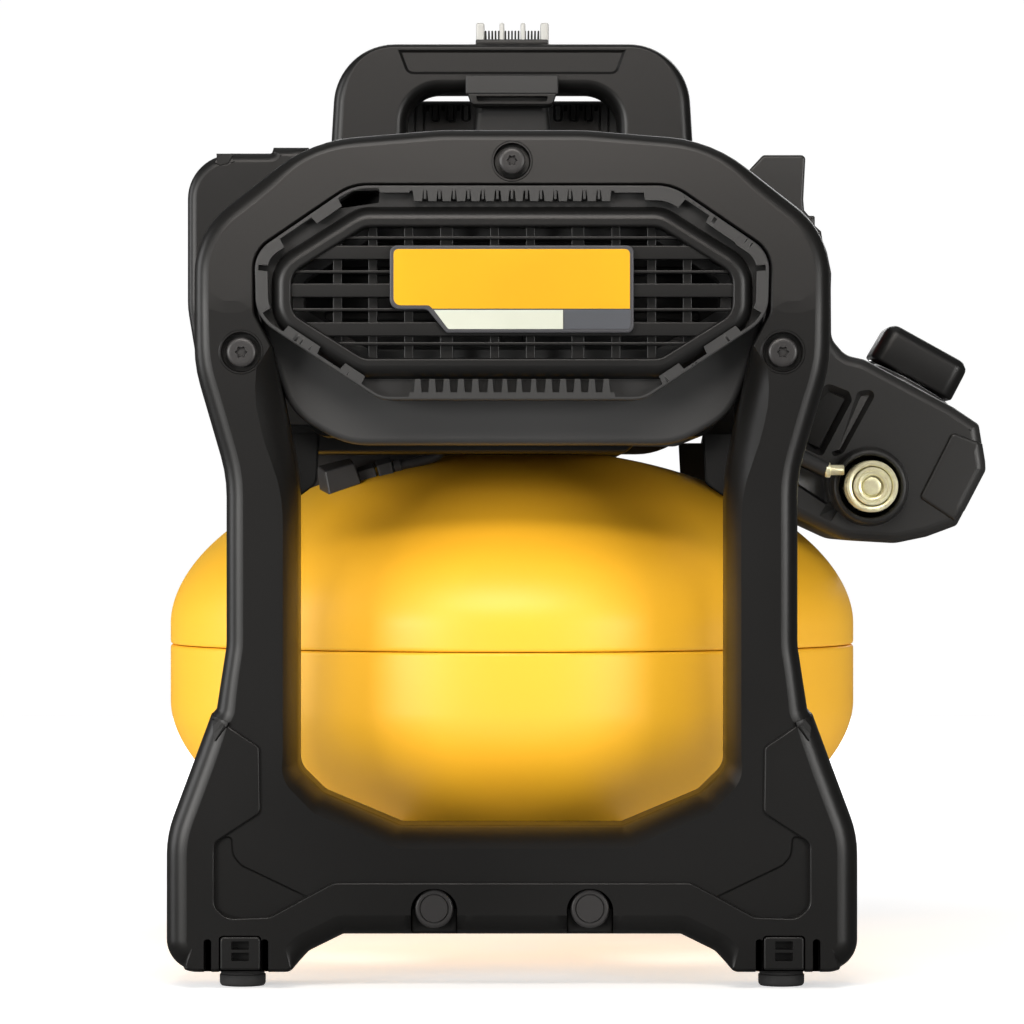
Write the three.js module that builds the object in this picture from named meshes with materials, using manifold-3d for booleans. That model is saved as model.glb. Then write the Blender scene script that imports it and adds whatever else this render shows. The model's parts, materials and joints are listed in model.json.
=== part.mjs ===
// Pancake air compressor: a round tank between two end panels, with a pump shroud, a carry
// handle, a battery dock and a tilted regulator console on top.
// Millimetres, +Z up. The front of the machine, with its controls, faces +X.
import * as THREE from 'three';
import { mergeVertices } from 'three/addons/utils/BufferGeometryUtils.js';
import Module from 'manifold-3d';

const wasm = await Module();
wasm.setup();

// ---------------------------------------------------------------- driving dimensions
const GAP = 0.3;                    // clearance between pieces that rest on each other
const FRAME_LENGTH = 407;           // over both end panels, along Y
const PANEL_DEPTH = 43;             // depth of one end panel
const PANEL_WALL = 4;               // moulded wall of an end panel
const END_Y = FRAME_LENGTH / 2;     // outer face of an end panel
const BACK_Y = END_Y - PANEL_DEPTH; // inner face of an end panel

const COLUMN_OUT = 119.5;           // half width over the columns
const LEG_OUT = 144.4;              // half width over the legs
const ARCH_OUT = 132.9;             // half width over the arch
const ARCH_TOP = 359;
const WINDOW_IN = 94.5;             // half width between the columns
const WINDOW_FLOOR = 60;
const BEAM_UNDER = 22.7;            // underside of the beam between the legs
const LEG_UNDER = 7.3;
const FOOT_X = 113.3;
const FOOT_Y = 182;
const FOOT_R = 9.7;

const TANK_R = 155.7;
const TANK_WALL = 2.5;
const SEAM_Z = 139.1;               // the weld between the two halves of the tank
const RIM_UP = 10;                  // straight side above the seam
const RIM_DOWN = 26;                // straight side below the seam
const DOME_RISE = 79;

const VENT_HALF = 107.5;            // half width of the vent opening in the arch
const VENT_LOW = 245.7;
const VENT_TOP = 335.7;
const RING_FACE_Y = END_Y - 2;      // outer face of the vent ring
const COVER_FACE_Y = END_Y - 25.5;  // outer face of the end cover round the ring

const SHROUD_HALF = 104;
const SHROUD_FLOOR = 231;
const SHROUD_TOP = 356;
const SHROUD_Y = BACK_Y - 0.6;
const SHELL_WALL = 3;

const DOCK_X = -145;                // rear edge of the battery dock
const FRONT_X = 210.5;              // front edge of the console
const CONSOLE_Y = 70;               // half width of the console
const CONSOLE_SPLIT = 230;          // joint between the console's two shells
const PANEL_TILT = THREE.MathUtils.degToRad(29);
const KNOB_FOOT = [178.2, 0, 254.6];  // where the knob's axis crosses the control panel
const GAUGE_Y = 43;
const GAUGE_R = 18;
const COUPLER = [158.3, 210.3];     // axis of the quick coupler, in X and Z

const PUMP_Z = 292;                 // axis of the motor and crank
const STROKE = 18;
const BOX_MID_X = (FRONT_X - TANK_R) / 2;  // the tank's rear edge to the console's front edge

// ---------------------------------------------------------------- materials
const finish = (color, roughness, metalness = 0) =>
  new THREE.MeshStandardMaterial({ color, roughness, metalness });
const BLACK = finish(0x262626, 0.55);
const GREY = finish(0x454545, 0.6);
const DARK = finish(0x1a1a1a, 0.7);
const YELLOW = finish(0xf7b616, 0.3);
const RUBBER = finish(0x151515, 0.9);
const STEEL = finish(0x9a9a9a, 0.35, 1);
const BLACK_STEEL = finish(0x202020, 0.4, 1);
const BRASS = finish(0xd8b765, 0.25, 1);
const ALUMINIUM = finish(0xb5b5b5, 0.45, 1);
const COPPER = finish(0xb06a3a, 0.35, 1);
const BOARD = finish(0x1f5a34, 0.6);
const WHITE = finish(0xe8e8e2, 0.5);
const RED = finish(0xb3231b, 0.5);

// ---------------------------------------------------------------- solids and outlines
function solid(geometry) {
  const plain = geometry.clone();
  plain.deleteAttribute('normal');
  plain.deleteAttribute('uv');
  const merged = mergeVertices(plain, 1e-4);
  return new wasm.Manifold(new wasm.Mesh({
    numProp: 3,
    vertProperties: new Float32Array(merged.attributes.position.array),
    triVerts: new Uint32Array(merged.index.array),
  }));
}

function toGeometry(manifold) {
  const mesh = manifold.getMesh();
  const geometry = new THREE.BufferGeometry();
  geometry.setAttribute('position', new THREE.BufferAttribute(mesh.vertProperties, 3));
  geometry.setIndex(new THREE.BufferAttribute(mesh.triVerts, 1));
  return geometry;
}

const join = (...pieces) => toGeometry(pieces.map(solid).reduce((a, b) => a.add(b)));
const cut = (body, ...tools) => toGeometry(tools.map(solid).reduce((a, b) => a.subtract(b), solid(body)));
const common = (a, b) => toGeometry(solid(a).intersect(solid(b)));

// Corners are [x, z, fillet radius]; the result is a list of points with arcs in the corners.
function filleted(corners) {
  const points = [];
  corners.forEach(([x, z, radius = 0], i) => {
    const here = new THREE.Vector2(x, z);
    if (!radius) {
      points.push(here);
      return;
    }
    const before = corners[(i + corners.length - 1) % corners.length];
    const after = corners[(i + 1) % corners.length];
    const a = new THREE.Vector2(before[0], before[1]).sub(here).normalize();
    const b = new THREE.Vector2(after[0], after[1]).sub(here).normalize();
    const half = Math.acos(THREE.MathUtils.clamp(a.dot(b), -1, 1)) / 2;
    const reach = radius / Math.tan(half);
    const centre = here.clone().add(a.clone().add(b).normalize().multiplyScalar(radius / Math.sin(half)));
    const from = here.clone().addScaledVector(a, reach).sub(centre);
    const turn = (Math.PI - 2 * half) * Math.sign(b.cross(a));
    const steps = Math.max(2, Math.ceil(Math.abs(turn) / 0.5));
    for (let s = 0; s <= steps; s++) {
      const step = from.clone().rotateAround(new THREE.Vector2(), (turn * s) / steps);
      points.push(step.add(centre));
    }
  });
  return points;
}

// A right half, from its lowest point on the centre line up to its highest, mirrored to a loop.
function mirrored(half) {
  const left = half.filter(([x]) => x > 0).reverse().map(([x, z, r]) => [-x, z, r]);
  return [...half, ...left];
}

// Moves every corner of a counter-clockwise outline inwards by a distance.
function inset(corners, distance) {
  return corners.map(([x, z, radius = 0], i) => {
    const before = corners[(i + corners.length - 1) % corners.length];
    const after = corners[(i + 1) % corners.length];
    const u = new THREE.Vector2(x - before[0], z - before[1]).normalize();
    const v = new THREE.Vector2(after[0] - x, after[1] - z).normalize();
    const bend = u.cross(v);
    const mitre = distance / (1 + u.dot(v));
    const shiftX = -(u.y + v.y) * mitre;
    const shiftZ = (u.x + v.x) * mitre;
    const fillet = radius ? Math.max(0, radius - distance * Math.sign(bend)) : 0;
    return [x + shiftX, z + shiftZ, fillet];
  });
}

// Extrudes an XZ outline along Y, from y0 to y1, with optional holes.
function slab(corners, y0, y1, holes = []) {
  const shape = new THREE.Shape(filleted(corners));
  shape.holes = holes.map((hole) => new THREE.Path(filleted(hole)));
  const geometry = new THREE.ExtrudeGeometry(shape, { depth: y1 - y0, bevelEnabled: false });
  return geometry.rotateX(Math.PI / 2).translate(0, y1, 0);
}

// Extrudes a YZ outline along X, from x0 to x1.
function slabX(corners, x0, x1) {
  const shape = new THREE.Shape(filleted(corners));
  const geometry = new THREE.ExtrudeGeometry(shape, { depth: x1 - x0, bevelEnabled: false });
  return geometry.rotateX(Math.PI / 2).rotateZ(Math.PI / 2).translate(x0, 0, 0);
}

function block(x0, x1, y0, y1, z0, z1) {
  return new THREE.BoxGeometry(x1 - x0, y1 - y0, z1 - z0)
    .translate((x0 + x1) / 2, (y0 + y1) / 2, (z0 + z1) / 2);
}

// A cylinder along Y.
function rodY(x, z, radius, y0, y1, sides = 20) {
  return new THREE.CylinderGeometry(radius, radius, y1 - y0, sides).translate(x, (y0 + y1) / 2, z);
}

// A cylinder along X.
function rodX(y, z, radius, x0, x1, sides = 20) {
  return new THREE.CylinderGeometry(radius, radius, x1 - x0, sides)
    .rotateZ(Math.PI / 2).translate((x0 + x1) / 2, y, z);
}

// A cylinder along Z.
function rodZ(x, y, radius, z0, z1, sides = 20) {
  return new THREE.CylinderGeometry(radius, radius, z1 - z0, sides)
    .rotateX(Math.PI / 2).translate(x, y, (z0 + z1) / 2);
}

// A turned piece about Z from [radius, height] pairs.
function turned(profile, sides = 32) {
  const points = profile.map(([r, z]) => new THREE.Vector2(r, z));
  return new THREE.LatheGeometry(points, sides).rotateX(Math.PI / 2);
}

// A round tube along a smooth path.
function tube(points, radius, steps, sides = 10) {
  const path = new THREE.CatmullRomCurve3(points.map((p) => new THREE.Vector3(...p)));
  const ring = new THREE.Shape();
  ring.absarc(0, 0, radius, 0, 2 * Math.PI);
  return new THREE.ExtrudeGeometry(ring, {
    steps, extrudePath: path, bevelEnabled: false, curveSegments: sides / 2,
  });
}

const flippedY = (geometry) => toGeometry(solid(geometry).mirror([0, 1, 0]));

const machine = new THREE.Group();
machine.position.x = -BOX_MID_X;    // the origin is under the middle of the whole machine

function add(name, geometry, material, parent = machine) {
  const mesh = new THREE.Mesh(geometry, material);
  mesh.name = name;
  parent.add(mesh);
  return mesh;
}

// Adds one piece to the near end (-Y) and its mirror image to the far end (+Y).
function addBothEnds(name, geometry, material) {
  add(`${name}_near`, geometry, material);
  add(`${name}_far`, flippedY(geometry), material);
}

// ---------------------------------------------------------------- tank
// The dome is a superellipse, fuller than an ellipse near the rim.
const domeHeight = (r, extra = 0) =>
  (DOME_RISE + extra) * Math.pow(Math.max(0, 1 - Math.pow(r / (TANK_R + extra), 2)), 1 / 1.85);

function domeProfile(offset, steps) {
  const profile = [];
  for (let i = 0; i <= steps; i++) {
    const r = (TANK_R + offset) * Math.cos((i / steps) * (Math.PI / 2));
    profile.push([Math.max(0, r), domeHeight(r, offset)]);
  }
  profile[steps][0] = 0;
  return profile;
}

function tankHalf(rim) {
  const outer = [[TANK_R, GAP / 2], ...domeProfile(0, 9).map(([r, h]) => [r, h + rim])];
  const inner = domeProfile(-TANK_WALL, 6).reverse().map(([r, h]) => [r, h + rim]);
  return turned([...outer, ...inner, [TANK_R - TANK_WALL, GAP / 2], [TANK_R, GAP / 2]], 44);
}

// The whole tank as one solid body, grown a little, to cut its neighbours with.
function tankBody(grow) {
  const upper = domeProfile(grow, 9).map(([r, h]) => [r, h + RIM_UP]);
  const lower = domeProfile(grow, 9).reverse().map(([r, h]) => [r, -h - RIM_DOWN]);
  return turned([...lower, ...upper], 44).translate(0, 0, SEAM_Z);
}

function addTank() {
  add('tank_upper_shell', tankHalf(RIM_UP).translate(0, 0, SEAM_Z), YELLOW);
  add('tank_lower_shell', tankHalf(RIM_DOWN).rotateX(Math.PI).translate(0, 0, SEAM_Z), YELLOW);

  const strap = slabX([
    [-BACK_Y + GAP, 24], [-BACK_Y + 3 + GAP, 24], [-BACK_Y + 3 + GAP, 38],
    [-106, 50], [-106, 80], [-110, 80], [-110, 53], [-BACK_Y + GAP, 42],
  ], -48, 48);
  const boltHoles = [-32.5, 32.5].map((x) => rodY(x, 33.6, 4.6, -BACK_Y - 1, -BACK_Y + 6, 12));
  addBothEnds('tank_bracket', cut(strap, tankBody(GAP), ...boltHoles), BLACK_STEEL);

  const bottom = SEAM_Z - RIM_DOWN - DOME_RISE;
  add('drain_valve_body', rodZ(0, 0, 8.5, bottom - 13, bottom - GAP, 6), BRASS);
  const grip = join(rodZ(0, 0, 4, bottom - 24, bottom - 13.3, 12), block(-11, 11, -2, 2, bottom - 24, bottom - 15));
  add('drain_valve_knob', grip, BRASS);
}

// ---------------------------------------------------------------- end panels
const OUTER = mirrored([
  [0, BEAM_UNDER], [70.6, BEAM_UNDER, 3], [92.7, LEG_UNDER, 4], [LEG_OUT, LEG_UNDER, 13],
  [LEG_OUT, 64, 40], [122.5, 117, 25], [COLUMN_OUT, 145, 30], [COLUMN_OUT, 214, 60],
  [ARCH_OUT, 260, 60], [ARCH_OUT, 316, 34], [84, 354.5, 60], [30, ARCH_TOP, 60], [0, ARCH_TOP],
]);
const OPENING = mirrored([
  [0, WINDOW_FLOOR], [44, WINDOW_FLOOR, 8], [84, 76, 10], [WINDOW_IN, 88, 8],
  [WINDOW_IN, 208, 60], [VENT_HALF, 254, 40], [VENT_HALF, 302, 14], [57, VENT_TOP + GAP, 12],
  [0, VENT_TOP + GAP],
]);
const ARCH_SCREWS = [[-113, 265.7], [0, 345.7], [113, 265.7]];
const BASE_BOLTS = [[-32.5, 33.6], [32.5, 33.6]];

function endPanel() {
  const face = -END_Y;
  const body = slab(OUTER, face, -BACK_Y, [OPENING]);
  const hollow = slab(inset(OUTER, PANEL_WALL), face + PANEL_WALL, -BACK_Y + 1, [inset(OPENING, -PANEL_WALL)]);
  const bosses = [
    ...ARCH_SCREWS.map(([x, z]) => rodY(x, z, 10.5, face, -BACK_Y + 2)),
    ...BASE_BOLTS.map(([x, z]) => rodY(x, z, 14, face, -BACK_Y + 2)),
  ];
  const ribs = [75, 130, 185, 235].map((z) => block(-LEG_OUT, LEG_OUT, face, -BACK_Y + 2, z - 1.5, z + 1.5));
  const pocket = cut(hollow, ...bosses, ...ribs);
  const recesses = [
    ...ARCH_SCREWS.map(([x, z]) => rodY(x, z, 7.7, face - 1, face + 3.6)),
    ...ARCH_SCREWS.map(([x, z]) => rodY(x, z, 2.9, face, -BACK_Y + 2, 10)),
    ...BASE_BOLTS.map(([x, z]) => rodY(x, z, 10.4, face - 1, face + 9)),
    ...BASE_BOLTS.map(([x, z]) => block(x - 10.4, x + 10.4, face - 1, face + 9, BEAM_UNDER - 1, z)),
    ...BASE_BOLTS.map(([x, z]) => rodY(x, z, 4.6, face, -BACK_Y + 2, 12)),
  ];
  return cut(body, pocket, ...recesses);
}

function addEndPanels() {
  addBothEnds('side_frame', endPanel(), BLACK);
  ['rear', 'top', 'front'].forEach((place, i) => {
    const [x, z] = ARCH_SCREWS[i];
    const head = rodY(x, z, i === 1 ? 5.6 : 6.3, -END_Y + 0.8, -END_Y + 3.2, 18);
    const shank = rodY(x, z, 2.5, -END_Y + 3, -BACK_Y - 0.5, 10);
    addBothEnds(`arch_screw_${place}`, join(head, shank), BLACK_STEEL);
  });
  ['rear', 'front'].forEach((place, i) => {
    const [x, z] = BASE_BOLTS[i];
    const head = rodY(x, z, 8.3, -END_Y + 2, -END_Y + 8.6, 18);
    const shank = rodY(x, z, 4, -END_Y + 8, -BACK_Y + 8, 12);
    addBothEnds(`base_bolt_${place}`, join(head, shank), BLACK_STEEL);
    const side = i === 0 ? -1 : 1;
    addBothEnds(`foot_${place}`, rodZ(side * FOOT_X, -FOOT_Y, FOOT_R, 0, LEG_UNDER - GAP, 24), RUBBER);
  });
}

// ---------------------------------------------------------------- vents at both ends
const RING_OUT = mirrored([
  [0, VENT_LOW], [55, VENT_LOW, 12], [VENT_HALF - 0.6, 280, 14], [VENT_HALF - 0.6, 301.5, 14],
  [56.5, VENT_TOP - GAP, 12], [0, VENT_TOP - GAP],
]);
const RIM_OUT = mirrored([
  [0, 258.8], [58, 258.8, 10], [95.8, 284, 10], [95.8, 303.6, 10], [58, 322.8, 10], [0, 322.8],
]);
const THICK_BARS = [307.4, 291.6, 275.4];
const UPRIGHTS = [-73.1, -58.3, -43.3, -27.4, -7.3, 7.7, 27.6, 43.5, 58.5, 73.4];
const BADGE = [
  [-27.4, 273.8, 1.5], [49.5, 273.8, 3], [50.8, 310.3, 3], [-51, 310.3, 3],
  [-51, 283.6, 4], [-35.5, 283.6, 3],
];

function ventGrille() {
  const face = -END_Y + 3.2;
  const rim = slab(RIM_OUT, face, face + 16, [inset(RIM_OUT, 3.4)]);
  const bars = [
    ...THICK_BARS.map((z) => block(-100, 100, face + 2.5, face + 6, z - 2.9, z + 2.9)),
    ...UPRIGHTS.map((x) => {
      const half = Math.abs(Math.abs(x) - 27.5) < 0.2 ? 2.7 : 1.9;
      return block(x - half, x + half, face + 5.5, face + 9, 256, 326);
    }),
  ];
  const lattice = common(join(...bars), slab(inset(RIM_OUT, 1.5), face, face + 16));
  return join(rim, lattice);
}

// The flush wall of the pump shroud that shows round and below the vent ring.
function endCover() {
  const outline = mirrored([
    [0, 227.3], [70, 227.3, 30], [93, 240, 20], [103, 266, 60], [VENT_HALF - 1, 282, 20],
    [VENT_HALF - 1, 301, 14], [56, VENT_TOP - 1, 12], [0, VENT_TOP - 1],
  ]);
  return slab(outline, -COVER_FACE_Y, -BACK_Y - 0.2, [inset(RIM_OUT, 8)]);
}

function addVents() {
  addBothEnds('end_cover', endCover(), GREY);
  const ring = slab(RING_OUT, -RING_FACE_Y, -COVER_FACE_Y - GAP, [inset(RIM_OUT, -GAP - 0.2)]);
  addBothEnds('vent_ring', ring, GREY);
  addBothEnds('vent_grille', ventGrille(), GREY);
  addBothEnds('badge', slab(BADGE, -END_Y + 2.4, -END_Y + 5.4), YELLOW);
}

// ---------------------------------------------------------------- pump shroud and handle
const SHROUD = mirrored([
  [0, SHROUD_FLOOR], [82, SHROUD_FLOOR, 8], [SHROUD_HALF, 256, 16], [SHROUD_HALF, 330, 22],
  [78, SHROUD_TOP, 14], [0, SHROUD_TOP],
]);
const TUBE_HOLE = [-30, -53];

function handle() {
  const outline = mirrored([
    [0, SHROUD_TOP + GAP], [81.8, SHROUD_TOP + GAP], [81.8, 366, 30], [75.5, 411.6, 32], [0, 411.6],
  ]);
  const opening = mirrored([
    [0, 363], [52.6, 363, 5], [52.6, 394.8, 18], [0, 394.8],
  ]);
  const loop = slab(outline, -20, 20, [opening]);
  const fins = [-13.5, -4.1, 4.8, 14].map((x) => block(x - 2.5, x + 2.5, -15, 15, 411, 421.3));
  return join(loop, block(-17, 17, -16, 16, 411, 414.5), ...fins);
}

function addShroud() {
  const wall = slab(SHROUD, -SHROUD_Y, SHROUD_Y, [inset(SHROUD, SHELL_WALL)]);
  const hole = rodZ(TUBE_HOLE[0], TUBE_HOLE[1], 8, SHROUD_FLOOR - 2, SHROUD_FLOOR + 6, 14);
  add('pump_shroud', cut(wall, hole), BLACK);
  add('handle', handle(), BLACK);
  const tab = join(block(-21, 21, -25, -20.3, 387.5, 396.7), block(-19, 19, -25, -8, 383, 390));
  add('handle_clip', cut(tab, block(-16, 16, -26, -7, 385, 387.2)), GREY);

  const hood = block(-54, 54, 24, 128, SHROUD_TOP + GAP, 389);
  const inside = block(-51, 51, 27, 125, SHROUD_TOP - 1, 386);
  const slots = [];
  for (let i = 0; i < 5; i++) {
    for (const side of [-1, 1]) {
      const x = side * (20.5 + 6.9 * i);
      slots.push(block(x - 1.2, x + 1.2, 20, 130, 366, 384));
    }
  }
  add('top_vent_cover', cut(hood, inside, ...slots), BLACK);
}

// ---------------------------------------------------------------- battery dock
function addBatteryDock() {
  const outline = [
    [-SHROUD_HALF - 0.5, 331], [-91, 345], [-91, 362], [-107, 362], [-107.5, ARCH_TOP],
    [DOCK_X, ARCH_TOP, 20], [DOCK_X, 290, 30], [-141, 266, 12], [-126, 254, 8],
    [-SHROUD_HALF - 0.5, 254],
  ];
  const bay = block(-150, -113, -45, 45, 240, 349);
  add('battery_dock', cut(slab(outline, -54, 54), bay), BLACK);

  const plate = block(-116, -113.3, -36, 36, 262, 342);
  const blades = [-15, -7.5, 0, 7.5, 15].map((y) => block(-128, -121, y - 0.6, y + 0.6, 274, 316));
  const rails = [-1, 1].map((s) => block(-126, -115, s * 30 - 2.5, s * 30 + 2.5, 264, 338));
  const terminals = join(plate, block(-122, -115, -21, 21, 268, 322), ...blades, ...rails);
  add('battery_terminal_block', terminals, DARK);
}

// ---------------------------------------------------------------- front console
const FRONT_COVER = [
  [SHROUD_HALF + 0.5, CONSOLE_SPLIT], [208, CONSOLE_SPLIT], [207, 237, 3], [196, 245.2, 6],
  [156.5, 266.6, 6], [148, 268.5, 8], [141.8, 276, 6], [141.8, 302], [137.7, 319],
  [134.4, 330.5], [129.2, 337.6], [130.4, 357.5, 2], [111.3, 357.5, 2],
  [SHROUD_HALF + 0.5, 350],
];
const FRONT_ROOM = [
  [108, 222], [203, 222], [203, 236], [194.4, 242.4, 3], [155.6, 263.4, 4], [146.6, 265.4, 6],
  [138.8, 275, 4], [138.8, 301.6], [134.6, 319], [126.2, 336.6], [127.2, 354.2], [108, 354.2],
];
const LOWER_ROOM = [
  [108, 213.5], [129, 199, 6], [148.4, 189.6, 8], [170, 188.2, 8], [182.6, 191, 4],
  [194.6, 196, 3], [206.4, 219, 3], [203, 236], [108, 236],
];
const LOWER_SHELL = [
  [SHROUD_HALF + 0.5, 209.5], [128, 195.5, 8], [147.6, 186.4, 10], [170, 185, 10],
  [184, 188, 6], [197, 193, 4], [FRONT_X, 219, 4], [208.2, CONSOLE_SPLIT - GAP],
  [SHROUD_HALF + 0.5, CONSOLE_SPLIT - GAP],
];

// A piece given on the control panel: Z is the panel's normal, from the knob's foot.
const panelFrame = new THREE.Group();
panelFrame.position.set(...KNOB_FOOT);
panelFrame.rotation.y = PANEL_TILT;
machine.add(panelFrame);
const onPanel = (geometry) => geometry.rotateY(PANEL_TILT).translate(...KNOB_FOOT);

function frontCover() {
  const skin = slab(FRONT_COVER, -CONSOLE_Y, CONSOLE_Y);
  const room = slab(FRONT_ROOM, -CONSOLE_Y + SHELL_WALL, CONSOLE_Y - SHELL_WALL);
  const boss = onPanel(rodZ(0, 0, 19, -2, 5, 24));
  const holes = [
    onPanel(rodZ(0, 0, 7, -8, 8, 18)),
    onPanel(rodZ(0, -GAUGE_Y, GAUGE_R + 0.4, -10, 5, 24)),
    onPanel(rodZ(0, GAUGE_Y, GAUGE_R + 0.4, -10, 5, 24)),
    block(130, 145, -9.6, 9.6, 277, 303),
  ];
  const shell = join(cut(skin, room), boss);
  return cut(shell, ...holes);
}

function lowerShell() {
  const [x, z] = COUPLER;
  const skin = slab(LOWER_SHELL, -CONSOLE_Y, CONSOLE_Y);
  const room = slab(LOWER_ROOM, -CONSOLE_Y + SHELL_WALL, CONSOLE_Y - SHELL_WALL);
  const boss = rodY(x, z, 16.5, -CONSOLE_Y - 8, -CONSOLE_Y + 1, 28);
  const bore = rodY(x, z, 13.8, -CONSOLE_Y - 9, -CONSOLE_Y + 5, 28);
  const valveHole = rodY(152, 209, 7.5, CONSOLE_Y - 5, CONSOLE_Y + 5, 16);
  return cut(join(cut(skin, room), boss), bore, valveHole);
}

function addGauge(name, y) {
  const r = GAUGE_R;
  const cup = turned([
    [0, -13], [r - 1, -13], [r, -12], [r, 0.4], [r - 2, 0.4], [r - 2, -4.5], [0, -4.5],
  ], 28);
  add(`${name}_gauge`, cup.translate(0, y, 0), WHITE, panelFrame);
  const hub = rodZ(0, 0, 2, -3.9, -2.6, 12);
  const pointer = new THREE.BoxGeometry(14, 1.2, 0.7).translate(4.5, 0, -3.3);
  add(`${name}_gauge_needle`, join(hub, pointer).translate(0, y, 0), RED, panelFrame);
}

function addConsole() {
  add('front_cover', frontCover(), BLACK);
  add('console_lower_shell', lowerShell(), BLACK);
  add('power_switch', join(rodY(137, 290, 4, -8.8, 8.8, 12), block(134.5, 144.5, -8.8, 8.8, 278.5, 301.5)), RED);

  const knob = turned([
    [0, 23], [17.5, 23], [20, 21.5], [21, 19], [21, 5.4], [5.5, 5.4], [5.5, -2], [0, -2],
  ].reverse(), 32);
  add('regulator_knob', knob, BLACK, panelFrame);
  addGauge('tank', -GAUGE_Y);
  addGauge('outlet', GAUGE_Y);

  const [cx, cz] = COUPLER;
  const bonnet = onPanel(rodZ(0, 0, 15, -47, -3.6, 24));
  add('regulator_body', join(bonnet, block(136, 176, -38, 38, 198, 222)), ALUMINIUM);

  const socket = rodY(cx, cz, 4.8, -94, -66, 20);
  const body = join(rodY(cx, cz, 8.4, -92, -45, 24), rodY(cx, cz, 11.4, -60, -38.3, 6));
  add('coupler_body', cut(body, socket), BRASS);
  const sleeve = cut(rodY(cx, cz, 11.4, -91, -72, 28), rodY(cx, cz, 8.8, -95, -70, 28));
  add('coupler_sleeve', sleeve, BRASS);

  const hose = tube([[107, -82, 238], [118, -82, 229], [129, -82, 222.5], [139.5, -82, 218.5]], 3, 8);
  const stub = rodX(-82, 217.5, 2.5, 138, 146.4, 12);
  add('coupler_feed_tube', join(hose, stub), BLACK);

  add('safety_valve', join(rodY(152, 209, 6.5, 38.3, 84, 6), rodY(152, 209, 3, 80, 88, 12)), BRASS);
  const ring = new THREE.TorusGeometry(9, 1, 6, 16).rotateY(Math.PI / 2).translate(152, 101, 209);
  add('safety_valve_ring', join(rodY(152, 209, 2, 88.3, 93, 12), ring), STEEL);
}

// ---------------------------------------------------------------- air line to the tank
function addAirLine() {
  const [hx, hy] = TUBE_HOLE;
  const elbow = join(
    slab([[-87, 203], [-72, 199], [-67.5, 212], [-67.5, 222], [-83, 225], [-87, 219]], -64, -44),
    rodZ(-77, -54, 9, 196, 206, 6),
    rodX(-54, 218, 6, -70, -53, 6),
  );
  add('tank_check_valve', cut(elbow, tankBody(GAP)), BLACK_STEEL);
  const line = tube([[-52.5, -54, 221.5], [-45, -54, 223], [-37, -53.5, 226.5], [hx, hy, 236], [hx, hy, 246]], 2.6, 12);
  add('transfer_tube', line, COPPER);
}

// ---------------------------------------------------------------- motor and pump
const ROD_NEAR = -38;               // the connecting rod's two faces
const ROD_FAR = -30.5;
const PISTON_X = -52;

function addPump() {
  const mid = (ROD_NEAR + ROD_FAR) / 2;
  const casing = block(-30, 32, -60, -8, PUMP_Z - 34, PUMP_Z + 34);
  const barrel = rodX(mid, PUMP_Z, 27, -80, -28, 20);
  const fins = [-76, -67, -58, -49, -40].map((x) => rodX(mid, PUMP_Z, 31, x, x + 2.5, 20));
  const room = block(-27, 29, -57, -11, PUMP_Z - 31, PUMP_Z + 31);
  const bore = rodX(mid, PUMP_Z, 22.6, -81, -20, 20);
  const bearing = rodY(0, PUMP_Z, 9, -15, 0, 20);
  add('crankcase_and_cylinder', cut(join(casing, barrel, ...fins), room, bore, bearing), ALUMINIUM);
  add('cylinder_head', block(-94, -80.3, -62, -6, PUMP_Z - 28, PUMP_Z + 28), ALUMINIUM);

  const crown = rodX(mid, PUMP_Z, 22, PISTON_X - 5, PISTON_X + 5, 20);
  const rod = block(PISTON_X, -6, ROD_NEAR, ROD_FAR, PUMP_Z - 5, PUMP_Z + 5);
  add('piston', join(crown, rod, rodY(0, PUMP_Z, 11, ROD_NEAR, ROD_FAR, 20)), ALUMINIUM);

  const disc = rodY(0, PUMP_Z, 20, -20, -12.3, 28);
  const pin = rodY(STROKE / 2, PUMP_Z, 4, ROD_FAR + 0.5, -19, 14);
  add('crankshaft', join(disc, pin, rodY(0, PUMP_Z, 8, -12.5, -1, 16)), STEEL);

  const ringOuter = rodY(0, PUMP_Z, 42, -2.5, 54, 32);
  add('motor_stator', cut(ringOuter, rodY(0, PUMP_Z, 27, -6, 56, 32)), COPPER);
  add('motor_rotor', join(rodY(0, PUMP_Z, 26, 0, 50, 28), rodY(0, PUMP_Z, 5, 49, 96, 14)), STEEL);

  const blades = [];
  for (let i = 0; i < 7; i++) {
    const blade = block(-1, 1, 72, 92, 10, 46).rotateY((i / 7) * 2 * Math.PI);
    blades.push(blade.translate(0, 0, PUMP_Z));
  }
  const hub = cut(rodY(0, PUMP_Z, 14, 70, 94, 24), rodY(0, PUMP_Z, 5.4, 69, 97, 14));
  add('cooling_fan', join(hub, ...blades), BLACK);
  add('circuit_board', block(74, 76, 0, 110, 248, 330), BOARD);
}

addTank();
addEndPanels();
addVents();
addShroud();
addBatteryDock();
addConsole();
addAirLine();
addPump();

export default machine;
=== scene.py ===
"""Blender looks for the pancake air compressor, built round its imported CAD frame."""
import json
import math

import bmesh
import bpy
import numpy as np
from mathutils import Matrix, Vector
from mathutils.geometry import delaunay_2d_cdt


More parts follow.
